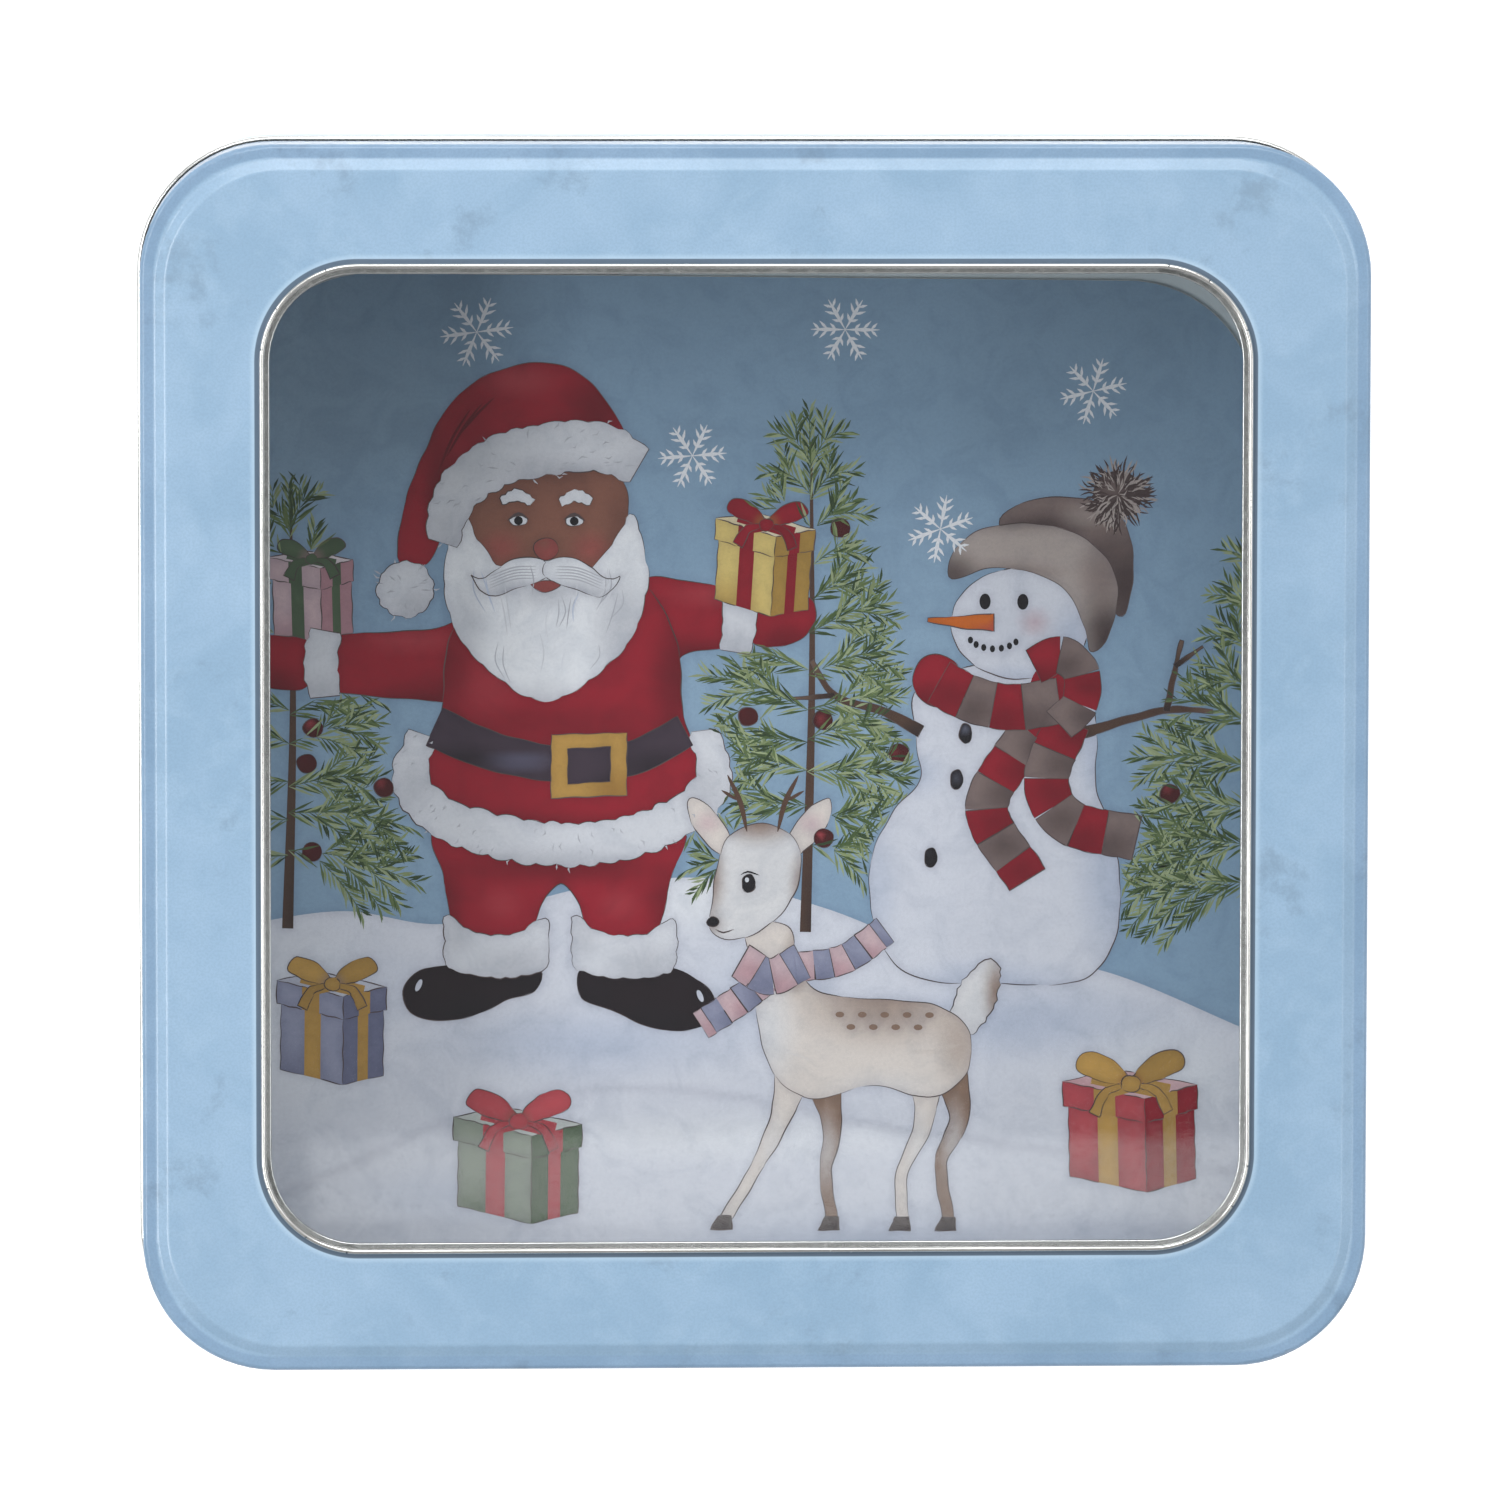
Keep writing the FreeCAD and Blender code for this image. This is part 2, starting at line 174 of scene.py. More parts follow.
def lacquer(nodes, colour, rough, share):
    """Pale satin lacquer over bare plate where the share is 1: colour, metal share and roughness."""
    colour = nodes.mix(share, colour, nodes.mix(0.3, LACQUER, colour))
    metallic = nodes.math("MULTIPLY_ADD", share, -0.8, 1.0)
    return colour, metallic, nodes.math("MULTIPLY_ADD", share, 0.2, rough)


def tinplate(name, tone, streaks, lacquered=False):
    """Bare tinplate, or tinplate with its upper side lacquered."""
    material, nodes = new_material(name)
    colour, rough, grain = metal_layer(nodes, nodes.place(), tone, streaks)
    metallic = 1.0
    if lacquered:
        upper = nodes.math("GREATER_THAN", nodes.axis(nodes.place("Normal"), "Z"), 0.0)
        colour, metallic, rough = lacquer(nodes, colour, rough, upper)
    nodes.principled(colour, rough, nodes.bump(grain, 0.08, 0.00004), Metallic=metallic)
    return material


def lid_painted_shading(nodes, where, colour):
    """The lid's print with painted light and shade: shade on the ledge and skirt, a shadow line under the
    edge, a shadow in the ring's groove and a lighter band beside it.
    """
    def until(value, low, high, most):
        """The share: most up to the low value, none past the high one. Both are in millimetres."""
        return nodes.steps(value, low * MM, high * MM, most, 0.0)

    rim = nodes.outline_distance(where, LID_ARC_CENTRE, LID_HALF)
    # Painted shade: the ledge below the raised panel is darkened.
    ledge = nodes.steps(rim, -LEDGE_WIDTH, -LEDGE_WIDTH + 0.6 * MM, 0.0, 0.5)
    colour = nodes.mix(ledge, colour, LEDGE_SKIRT_PAINTED_SHADE, "MULTIPLY")
    height = nodes.math("SUBTRACT", nodes.axis(where, "Z"), SKIRT_TOP)
    # Painted shade: the skirt below its top is darkened.
    colour = nodes.mix(until(height, -0.25, 0.25, 0.35), colour, LEDGE_SKIRT_PAINTED_SHADE, "MULTIPLY")
    # A painted shadow line just below the rounding of the lid's edge.
    line = nodes.math("MULTIPLY", nodes.steps(height, -0.9 * MM, -0.5 * MM, 0.0, 0.7),
                      until(height, -0.1, 0.2, 1.0))
    colour = nodes.mix(line, colour, EDGE_PAINTED_SHADOW_LINE, "MULTIPLY")
    groove = nodes.outline_distance(where, WINDOW_ARC_CENTRE, RING_HALF)
    # Painted light: a lighter band just outside the ring's groove, against the ring's cast shadow.
    colour = nodes.mix(until(groove, 0.2, 1.1, 0.4), colour, RING_SIDE_PAINTED_LIGHT)
    # Painted shadow in the groove where the ring meets the panel.
    return nodes.mix(until(groove, 0.0, 0.16, 0.8), colour, RING_GROOVE_PAINTED_SHADOW, "MULTIPLY")


def printed_tin(name, centre_height, bare_below, bare_above, painted_shading=None):
    """Tinplate printed blue outside and lacquered inside, and bare outside the two heights."""
    material, nodes = new_material(name)
    where = nodes.place()

    wash = nodes.noise(where, 42.0, detail=5.0, distortion=0.8)
    cloud = nodes.noise(where, 150.0, detail=6.0, roughness=0.62, distortion=0.3)
    grit = nodes.noise(where, 2600.0, detail=3.0, roughness=0.6)
    colour = nodes.mix(nodes.steps(wash, 0.36, 0.66), PRINT_LIGHT, PRINT_DEEP)
    colour = nodes.mix(nodes.steps(cloud, 0.45, 0.72, 0.0, 0.4), colour, PRINT_PALE)
    stain = nodes.noise(nodes.vector("ADD", where, (0.31, 0.17, 0.05)), 48.0, detail=7.0, roughness=0.72)
    colour = nodes.mix(nodes.steps(stain, 0.56, 0.70, 0.0, 0.6), colour, PRINT_STAIN)
    colour = nodes.mix(nodes.steps(grit, 0.4, 0.62, 0.0, 0.2), colour, PRINT_STAIN)
    # Painted light and shade, where given, are laid over the print here.
    if painted_shading:
        colour = painted_shading(nodes, where, colour)

    metal, metal_rough, grain = metal_layer(nodes, where, TIN_TONE, (1.0, 1.0, 0.08))
    from_centre = nodes.vector("SUBTRACT", where, (0.0, 0.0, centre_height))
    outward = nodes.vector("DOT_PRODUCT", nodes.place("Normal"), from_centre)
    height = nodes.axis(where, "Z")
    outside = nodes.math("GREATER_THAN", outward, 0.0)
    coated = nodes.math("MULTIPLY", nodes.math("GREATER_THAN", height, bare_below),
                        nodes.math("LESS_THAN", height, bare_above))
    printed = nodes.math("MULTIPLY", outside, coated)
    inner = nodes.math("MULTIPLY", nodes.math("SUBTRACT", 1.0, outside), coated)
    metal, metallic, metal_rough = lacquer(nodes, metal, metal_rough, inner)

    smear = nodes.noise(where, 70.0, detail=6.0, roughness=0.65)
    print_rough = nodes.steps(smear, 0.35, 0.7, 0.33, 0.47)
    varnish = nodes.noise(where, 700.0, detail=2.0)
    nodes.principled(
        nodes.mix(printed, metal, colour), nodes.mix(printed, metal_rough, print_rough),
        nodes.bump(nodes.mix(printed, grain, varnish), 0.12, 0.00005),
        Metallic=nodes.math("MULTIPLY", nodes.math("SUBTRACT", 1.0, printed), metallic),
        Specular_IOR_Level=0.25, Coat_Weight=nodes.math("MULTIPLY", printed, 0.4), Coat_Roughness=0.13)
    return material


def clear_pane(name):
    """Clear plastic sheet: see-through, faintly wavy, and glossier the lower it is seen from."""
    material, nodes = new_material(name)
    where = nodes.place()
    waves = nodes.noise(nodes.vector("MULTIPLY", where, (1.0, 0.45, 1.0)), 14.0, detail=2.0)
    ripple = nodes.bump(waves, 0.25, 0.0006)
    dust = nodes.noise(where, 900.0, detail=4.0, roughness=0.7)
    tint = nodes.mix(nodes.steps(dust, 0.6, 0.75, 0.0, 0.12), (0.955, 0.965, 0.97), (0.85, 0.87, 0.88))
    clear = nodes.add("ShaderNodeBsdfTransparent", {"Color": tint})
    smooth = nodes.steps(dust, 0.4, 0.75, 0.02, 0.07)
    mirror = {"Color": (1.0, 1.0, 1.0), "Roughness": smooth, "Normal": ripple}
    gloss = nodes.add("ShaderNodeBsdfGlossy", mirror)
    grazing = nodes.add("ShaderNodeLayerWeight", {"Blend": 0.5, "Normal": ripple}).outputs["Facing"]
    share = nodes.math("MULTIPLY_ADD", nodes.math("POWER", grazing, 5.0), 1.0 - FACE_ON_GLOSS,
                       FACE_ON_GLOSS)
    nodes.surface(nodes.add("ShaderNodeMixShader", {0: share, 1: clear, 2: gloss}).outputs[0])
    return material


def board(name):
    """Unprinted board, as on the card's back and cut edges: warm white with fibres."""
    material, nodes = new_material(name)
    where = nodes.place()
    fibre = nodes.noise(nodes.vector("MULTIPLY", where, (1.0, 0.3, 1.0)), 1400.0, 5.0, 0.7)
    cloud = nodes.noise(where, 90.0, detail=4.0)
    colour = nodes.mix(nodes.steps(fibre, 0.35, 0.7), (0.62, 0.60, 0.56), (0.50, 0.48, 0.44))
    colour = nodes.mix(nodes.steps(cloud, 0.4, 0.7, 0.0, 0.3), colour, (0.55, 0.54, 0.52))
    nodes.principled(colour, 0.85, nodes.bump(fibre, 0.3, 0.00004))
    return material


# ---------------------------------------------------------------- looks, linear colours

PRINT_LIGHT = (0.270, 0.397, 0.538)
PRINT_DEEP = (0.232, 0.356, 0.490)
PRINT_PALE = (0.316, 0.447, 0.585)
PRINT_STAIN = (0.172, 0.252, 0.340)
# Painted light and shade on the lid: a lighter band beside the window ring, shade on the ledge and skirt, a
# shadow line under the edge and a shadow in the ring's groove.
RING_SIDE_PAINTED_LIGHT = (0.46, 0.60, 0.72)
LEDGE_SKIRT_PAINTED_SHADE = (0.55, 0.6, 0.68)
EDGE_PAINTED_SHADOW_LINE = (0.2, 0.24, 0.32)
RING_GROOVE_PAINTED_SHADOW = (0.1, 0.11, 0.14)
LACQUER = (0.60, 0.68, 0.72)
TIN_TONE = (0.70, 0.71, 0.70)
RING_TONE = (0.76, 0.76, 0.74)

LID_LOW, LID_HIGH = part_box("lid")
LID_HALF = 100.0 * MM
LEDGE_WIDTH = 2.6 * MM
SKIRT_TOP = LID_HIGH.z - 1.5 * MM
RING_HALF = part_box("window_ring")[1].x
BODY_LOW, BODY_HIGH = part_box("tin_body")
SKIRT_CURL_HEIGHT = 1.3 * MM
RIM_CURL_HEIGHT = 1.7 * MM
# The point that the lid's outside faces away from lies this far below it.
LID_MIDDLE_DROP = 0.02
FAR_AWAY = 1.0


def dress(node, material):
    """Gives every slot of a CAD node the material."""
    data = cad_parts[node].data
    data.materials.clear()
    data.materials.append(material)


def dress_cad_parts():
    lid_middle = LID_LOW.z - LID_MIDDLE_DROP
    lid_foot = LID_LOW.z + SKIRT_CURL_HEIGHT
    dress("lid", printed_tin("lid_print", lid_middle, lid_foot, FAR_AWAY, lid_painted_shading))
    body_middle = 0.5 * (BODY_LOW.z + BODY_HIGH.z)
    body_top = BODY_HIGH.z - RIM_CURL_HEIGHT
    dress("tin_body", printed_tin("body_print", body_middle, -FAR_AWAY, body_top))
    dress("window_ring", tinplate("ring_tinplate", RING_TONE, (1.0, 1.0, 1.0)))
    dress("tin_bottom", tinplate("bottom_tinplate", TIN_TONE, (1.0, 0.06, 1.0), lacquered=True))
    dress("window_pane", clear_pane("clear_pane"))
    dress("picture_card", board("card_print"))


# ---------------------------------------------------------------- the picture on the card
#
# A winter scene in watercolour, in millimetres from the card's middle: x to the right and y up.
# Areas are outlines laid over each other, of which the topmost shows. Strokes are thin tapered
# ribbons just above them, for needles, fur, folds and pencil lines.

PAPER = 0.79


def ink(red, green, blue):
    """A print colour given as 0..255 display values, as a linear colour."""
    def linear(value):
        share = value / 255.0
        return share / 12.92 if share <= 0.04045 else ((share + 0.055) / 1.055) ** 2.4
    return tuple(PAPER * linear(value) for value in (red, green, blue))


SKY = ink(148, 177, 203)
SKY_DEEP = ink(132, 161, 186)
SKY_PALE = ink(166, 192, 213)
SNOW = ink(232, 233, 243)
SNOW_BLUE = ink(200, 208, 228)
SNOW_WHITE = ink(251, 251, 255)
FUR = ink(234, 234, 240)
FUR_GREY = ink(200, 200, 208)
RED = ink(164, 30, 48)
RED_DEEP = ink(112, 16, 32)
RED_LIGHT = ink(202, 82, 90)
LEATHER = ink(74, 60, 72)
LEATHER_DEEP = ink(44, 36, 44)
BOOT = ink(38, 28, 34)
GOLD = ink(206, 160, 84)
GOLD_DEEP = ink(166, 120, 58)
SKIN = ink(148, 98, 82)
SKIN_ROSE = ink(168, 84, 80)
SKIN_DEEP = ink(112, 72, 64)
WOOL = ink(142, 122, 118)
WOOL_DEEP = ink(82, 66, 66)
WOOL_PALE = ink(188, 174, 168)
GREEN = ink(160, 168, 152)
GREEN_DEEP = ink(92, 112, 84)
PINE = (ink(82, 102, 62), ink(108, 126, 80), ink(144, 158, 112), ink(60, 78, 50), ink(166, 178, 136))
BARK = ink(98, 72, 60)
FAWN = ink(242, 230, 222)
FAWN_DEEP = ink(156, 126, 108)
CREAM = ink(240, 237, 238)
LILAC = ink(164, 166, 190)
LILAC_DEEP = ink(124, 126, 154)
PINK = ink(224, 194, 198)
PINK_DEEP = ink(200, 150, 158)
YELLOW = ink(236, 208, 130)
YELLOW_DEEP = ink(190, 150, 76)
ROWAN = ink(84, 26, 30)
ORANGE = ink(226, 116, 44)
PENCIL = ink(92, 78, 78)
COAL = ink(34, 30, 36)


def sample(points, closed=True, spacing=0.8):
    """A smooth curve through the points (Catmull-Rom), as points about one spacing apart."""
    points = [Vector(p) for p in points]
    count = len(points)
    found = []
    for i in range(count if closed else count - 1):
        start, end = points[i], points[(i + 1) % count]
        before = points[i - 1] if closed or i > 0 else 2 * start - end
        after = points[(i + 2) % count] if closed or i + 2 < count else 2 * end - start
        steps = max(1, round((end - start).length / spacing))
        for k in range(steps):
            t = k / steps
            cubic = (3 * start - before - 3 * end + after) * t ** 3
            square = (2 * before - 5 * start + 4 * end - after) * t * t
            found.append(0.5 * (2 * start + (end - before) * t + square + cubic))
    return found if closed else found + [points[-1]]


def straight(points, spacing=0.8):
    """The closed outline with straight sides through the points."""
    points = [Vector(p) for p in points]
    found = []
    for start, end in zip(points, points[1:] + points[:1]):
        steps = max(1, round((end - start).length / spacing))
        found += [start.lerp(end, k / steps) for k in range(steps)]
    return found


def oval(x, y, half_width, half_height, turn=0.0, spacing=0.7):
    count = max(10, round(2 * math.pi * max(half_width, half_height) / spacing))
    cosine, sine = math.cos(math.radians(turn)), math.sin(math.radians(turn))
    found = []
    for k in range(count):
        angle = 2 * math.pi * k / count
        across, along = half_width * math.cos(angle), half_height * math.sin(angle)
        found.append(Vector((x + across * cosine - along * sine, y + across * sine + along * cosine)))
    return found


def band(points, widths, spacing=0.8):
    """The outline of a ribbon along a smooth curve, as wide as the widths spread evenly along it."""
    line = sample(points, closed=False, spacing=spacing)
    left, right = [], []
    for k, point in enumerate(line):
        ahead = (line[min(k + 1, len(line) - 1)] - line[max(k - 1, 0)]).normalized()
        side = Vector((-ahead.y, ahead.x))
        place = k / (len(line) - 1) * (len(widths) - 1)
        first = min(int(place), len(widths) - 2)
        width = widths[first] + (widths[first + 1] - widths[first]) * (place - first)
        left.append(point + 0.5 * width * side)
        right.append(point - 0.5 * width * side)
    return left + right[::-1]


def runs_anticlockwise(outline):
    return sum(a.x * b.y - b.x * a.y for a, b in zip(outline, outline[1:] + outline[:1])) > 0


def fluffy(outline, depth, length):
    """The outline with its edge turned into tufts of about this depth and length, on the outside."""
    outward = 1.0 if runs_anticlockwise(outline) else -1.0
    found = []
    along, tuft, height = 0.0, length, depth
    for before, point, after in zip(outline[-1:] + outline[:-1], outline, outline[1:] + outline[:1]):
        ahead = (after - before).normalized()
        rise = abs(math.sin(math.pi * min(along / tuft, 1.0))) ** 0.7
        found.append(point + outward * height * rise * Vector((ahead.y, -ahead.x)))
        along += (after - point).length
        if along >= tuft:
            along = 0.0
            tuft = length * chance.uniform(0.7, 1.3)
            height = depth * chance.uniform(0.5, 1.2)
    return found


def inside(point, outline):
    """Whether the point is inside the outline, by counting the edges that a ray to the right meets."""
    x, y = point
    found = False
    for a, b in zip(outline, outline[-1:] + outline[:-1]):
        if (a.y > y) != (b.y > y) and x < (b.x - a.x) * (y - a.y) / (b.y - a.y) + a.x:
            found = not found
    return found


class Area:
    """An outline with a base colour and soft blots: (colour, x, y, reach x, reach y, strength)."""

    def __init__(self, outline, colour, blots, lined, backdrop):
        self.outline = outline
        self.colour = colour
        self.blots = blots
        self.lined = lined
        self.backdrop = backdrop
        self.low = (min(p.x for p in outline), min(p.y for p in outline))
        self.high = (max(p.x for p in outline), max(p.y for p in outline))

    def holds(self, point):
        within = all(low <= c <= high for low, c, high in zip(self.low, point, self.high))
        return within and inside(point, self.outline)

    def colour_at(self, x, y):
        colour = Vector(self.colour)
        for other, middle_x, middle_y, reach_x, reach_y, strength in self.blots:
            distance = math.hypot((x - middle_x) / reach_x, (y - middle_y) / reach_y)
            if distance < 1.0:
                share = strength * (1.0 - distance * distance) ** 2
                colour = colour.lerp(Vector(other), share)
        return colour


areas = []
strokes = []
chance = random.Random(7)


def paint(outline, colour, *blots, lined=True, backdrop=False):
    areas.append(Area(outline, colour, blots, lined, backdrop))


def stroke(points, width, colour, level=1, spacing=0.8):
    """A thin line that swells in its middle and ends in points."""
    strokes.append((sample(points, closed=False, spacing=spacing), width, colour, level))


def on_backdrop(point):
    """Whether the topmost area at the point is sky or snow."""
    for area in reversed(areas):
        if area.holds(point):
            return area.backdrop
    return False


def shift(x, y, points):
    return [(x + px, y + py) for px, py in points]


def facing(side, x, y, points):
    """The points beside x and y, as they are for side 1 and mirrored for side -1."""
    return [(x + side * px, y + py) for px, py in points]


def paint_at(x, y, points, colour, *blots, fluff=None):
    """Paints a smooth shape whose points and blots are given from x and y. Returns its outline."""
    outline = sample(shift(x, y, points))
    if fluff:
        outline = fluffy(outline, *fluff)
    paint(outline, colour, *((shade, x + px, y + py, *rest) for shade, px, py, *rest in blots))
    return outline


def vary(colour, amount=0.1):
    factor = chance.uniform(1.0 - amount, 1.0 + amount)
    return tuple(min(1.0, factor * c) for c in colour)


def tufts(outline, count, length, colour, down=0.0):
    """Short fur strokes scattered inside an outline, leaning outwards from its middle, or down."""
    xs, ys = [p.x for p in outline], [p.y for p in outline]
    middle = Vector((sum(xs) / len(xs), sum(ys) / len(ys)))
    while count > 0:
        spot = Vector((chance.uniform(min(xs), max(xs)), chance.uniform(min(ys), max(ys))))
        count -= 1
        if not inside(spot, outline):
            continue
        lean = (spot - middle).normalized() * (1.0 - down) + Vector((0.0, -down))
        tip = spot + length * chance.uniform(0.6, 1.2) * lean
        bend = Vector((-lean.y, lean.x)) * length * chance.uniform(-0.25, 0.25)
        stroke([spot, spot.lerp(tip, 0.5) + bend, tip], 0.3, vary(colour, 0.12))


def paint_sky(card):
    # Painted shade: the deep blot at x 90 darkens the sky towards the right edge, where shade falls inside
    # the tin.
    blots = ((SKY_DEEP, -20, 92, 110, 46, 0.5), (SKY_DEEP, 30, 62, 40, 22, 0.4),
             (SKY_PALE, 20, 12, 70, 40, 0.4), (SKY_PALE, -62, 62, 26, 20, 0.35),
             (SKY_PALE, -60, -4, 40, 26, 0.4), (SKY_DEEP, 4, 46, 22, 16, 0.3),
             (SKY_DEEP, 90, 20, 26, 70, 0.9), (SKY_DEEP, 80, 84, 46, 40, 0.8),
             (SKY_PALE, -84, 70, 24, 40, 0.5))
    paint(card, SKY, *blots, backdrop=True, lined=False)


def paint_snow(card_half):
    """Two drifts, the far one and the near one."""
    edge = card_half + 2.0
    far = [(-edge, -25), (-68, -22), (-50, -24), (-28, -18), (-6, -16), (14, -21), (36, -29), (60, -31),
           (edge, -42)]
    near = [(-edge, -74), (-70, -67), (-48, -57), (-24, -52), (-2, -53), (24, -58), (52, -62), (edge, -66)]
    far_blots = ((SNOW_BLUE, -66, -34, 22, 8, 0.3), (SNOW_BLUE, -26, -44, 36, 8, 0.8),
                 (SNOW_BLUE, 48, -40, 34, 9, 0.8), (SNOW_WHITE, -6, -20, 26, 7, 0.8),
                 (SNOW_WHITE, 70, -50, 22, 12, 0.6), (SNOW_BLUE, 4, -36, 18, 12, 0.5),
                 (SNOW_WHITE, -74, -40, 18, 22, 0.6))
    near_blots = ((SNOW_BLUE, -48, -70, 26, 7, 0.5), (SNOW_BLUE, 22, -78, 44, 9, 0.6),
                  (SNOW_BLUE, 64, -76, 22, 6, 0.4), (SNOW_WHITE, 0, -60, 50, 6, 0.6))
    for ridge, blots in ((far, far_blots), (near, near_blots)):
        outline = sample(ridge, closed=False) + [Vector((edge, -edge)), Vector((-edge, -edge))]
        paint(clip_low(outline, card_half), SNOW, *blots, backdrop=True, lined=False)


def clip_low(outline, half):
    """The outline held inside the card's square, so that nothing hangs over its edge."""
    reach = half - 0.3
    return [Vector((max(-reach, min(reach, p.x)), max(-reach, min(reach, p.y)))) for p in outline]


def backdrop_runs(line):
    """The stretches of a line that lie on sky or snow."""
    runs = [[]]
    for point in line:
        if on_backdrop(point):
            runs[-1].append(point)
        elif runs[-1]:
            runs.append([])
    return [run for run in runs if len(run) > 2]


def paint_spray(start, tip, needle):
    """A twig with needles along both sides, longest near its foot."""
    bow = start.lerp(tip, 0.5) + Vector((0.0, 0.06 * (tip - start).length))
    twig = sample([start, bow, tip], False, 0.85)
    for run in backdrop_runs(twig):
        strokes.append((run, 0.3, GREEN_DEEP, 0))
    ahead = (tip - start).normalized()
    for k, spot in enumerate(twig):
        for flank in (-1, 1):
            across = Vector((-ahead.y, ahead.x)) * flank
            size = needle * (1.1 - 0.45 * k / len(twig)) * chance.uniform(0.7, 1.2)
            end = spot + size * (0.9 * ahead + chance.uniform(0.3, 0.65) * across).normalized()
            if on_backdrop(spot) and on_backdrop(end):
                strokes.append(([spot, spot.lerp(end, 0.5) + 0.15 * ahead, end], 0.46,
                                vary(chance.choice(PINE), 0.12), chance.choice((0, 1))))


def paint_trunk(x, top, foot):
    """A fir's trunk, thin at the top, which its needles may cross."""
    line = [(x, top), (x + 0.6, (top + foot) / 2), (x, foot)]
    paint(band(line, (0.4, 1.1, 1.9)), BARK, (COAL, x + 1, foot, 3, 22, 0.5), backdrop=True, lined=False)


def paint_fir(x, top, foot, reach):
    """A fir's leader and its needled branches, which lift near the top and droop below."""
    paint_spray(Vector((x, top - 8)), Vector((x - 0.4, top + 5)), 3.4)
    tiers = round((top - foot) / 7.2)
    for tier in range(tiers):
        share = (tier + 0.5) / tiers
        for side in (-1, 1):
            start = Vector((x, top - share * (top - foot) * 0.86 + chance.uniform(-1, 1)))
            length = reach * (0.12 + 0.88 * share ** 0.85) * chance.uniform(0.8, 1.15)
            angle = math.radians(60 - 76 * share + chance.uniform(-10, 10))
            ahead = Vector((side * math.cos(angle), math.sin(angle)))
            paint_spray(start, start + length * ahead, 4.4)
            for step in range(1, max(2, round(length / 5.4))):
                root = start + 4.8 * step * ahead
                left = 0.5 * (length - 4.8 * step) + 3.4
                for flank in (-1, 1):
                    turn = math.radians(36 * flank)
                    twig = Vector((ahead.x * math.cos(turn) - ahead.y * math.sin(turn),
                                   ahead.x * math.sin(turn) + ahead.y * math.cos(turn)))
                    paint_spray(root, root + left * twig, 3.8)


def paint_gift(x, y, width, height, wrap, shadow, ribbon, turn=0.0):
    """A wrapped box seen over its front corner, with a lid, a ribbon over each side and a bow."""
    cosine, sine = math.cos(math.radians(turn)), math.sin(math.radians(turn))
    left, right, rise = -0.62 * width, 0.4 * width, 0.24
    rim = 0.74 * height

    def place(points):
        return [(x + px * cosine - py * sine, y + px * sine + py * cosine) for px, py in points]

    def side_face(reach, low, high, near=0.0, far=1.0):
        a, b = near * reach, far * reach
        corners = [(a, low + rise * abs(a)), (b, low + rise * abs(b)), (b, high + rise * abs(b)),
                   (a, high + rise * abs(a))]
        return straight(place(corners), 0.6)

    for reach, colour in ((left, wrap), (right, shadow)):
        foot_x, foot_y = place([(0.8 * reach, 0.1 * height)])[0]
        blot = (shadow, foot_x, foot_y, 0.5 * width, 0.5 * height, 0.7)
        for low, high, grow in ((0, rim, 1.0), (rim, height, 1.07)):
            paint(side_face(grow * reach, low, high), colour, blot)
            paint(side_face(grow * reach, low, high, 0.36, 0.62), vary(ribbon, 0.1), lined=False)
    cover = [(0, height), (1.07 * left, height - rise * 1.07 * left),
             (left + right, height + rise * (right - left)), (1.07 * right, height + rise * 1.07 * right)]
    pale_wrap = tuple(0.6 * c + 0.4 for c in wrap)
    paint(straight(place(cover)), pale_wrap, (wrap, *place([(left, height)])[0], 9, 5, 0.6))
    for start, end in (((0.5 * left, -0.5 * left), (right + 0.5 * left, right - 0.5 * left)),
                       ((0.5 * right, 0.5 * right), (left + 0.5 * right, 0.5 * right - left))):
        ends = [(start[0], height + rise * start[1]), (end[0], height + rise * end[1])]
        paint(band(place(ends), (0.13 * width, 0.13 * width)), ribbon, lined=False)
    knot = (0.5 * (left + right), height + 0.5 * rise * (right - left))
    knot_spot = place([knot])[0]

    def beside_knot(side, shape):
        return place([(knot[0] + side * px * width, knot[1] + py * width) for px, py in shape])

    for side in (-1, 1):
        loop = beside_knot(side, ((0, 0), (0.14, 0.2), (0.36, 0.27), (0.44, 0.14), (0.24, 0.03)))
        paint(sample(loop, spacing=0.5), vary(ribbon, 0.16), (shadow, *knot_spot, 3, 3, 0.5))
        tail = beside_knot(side, ((0, 0), (0.2, -0.06), (0.3, -0.24)))
        paint(band(tail, (0.5, 1.4, 1.9), 0.5), vary(ribbon, 0.16))
    paint(oval(*knot_spot, 0.08 * width, 0.07 * width), ribbon)


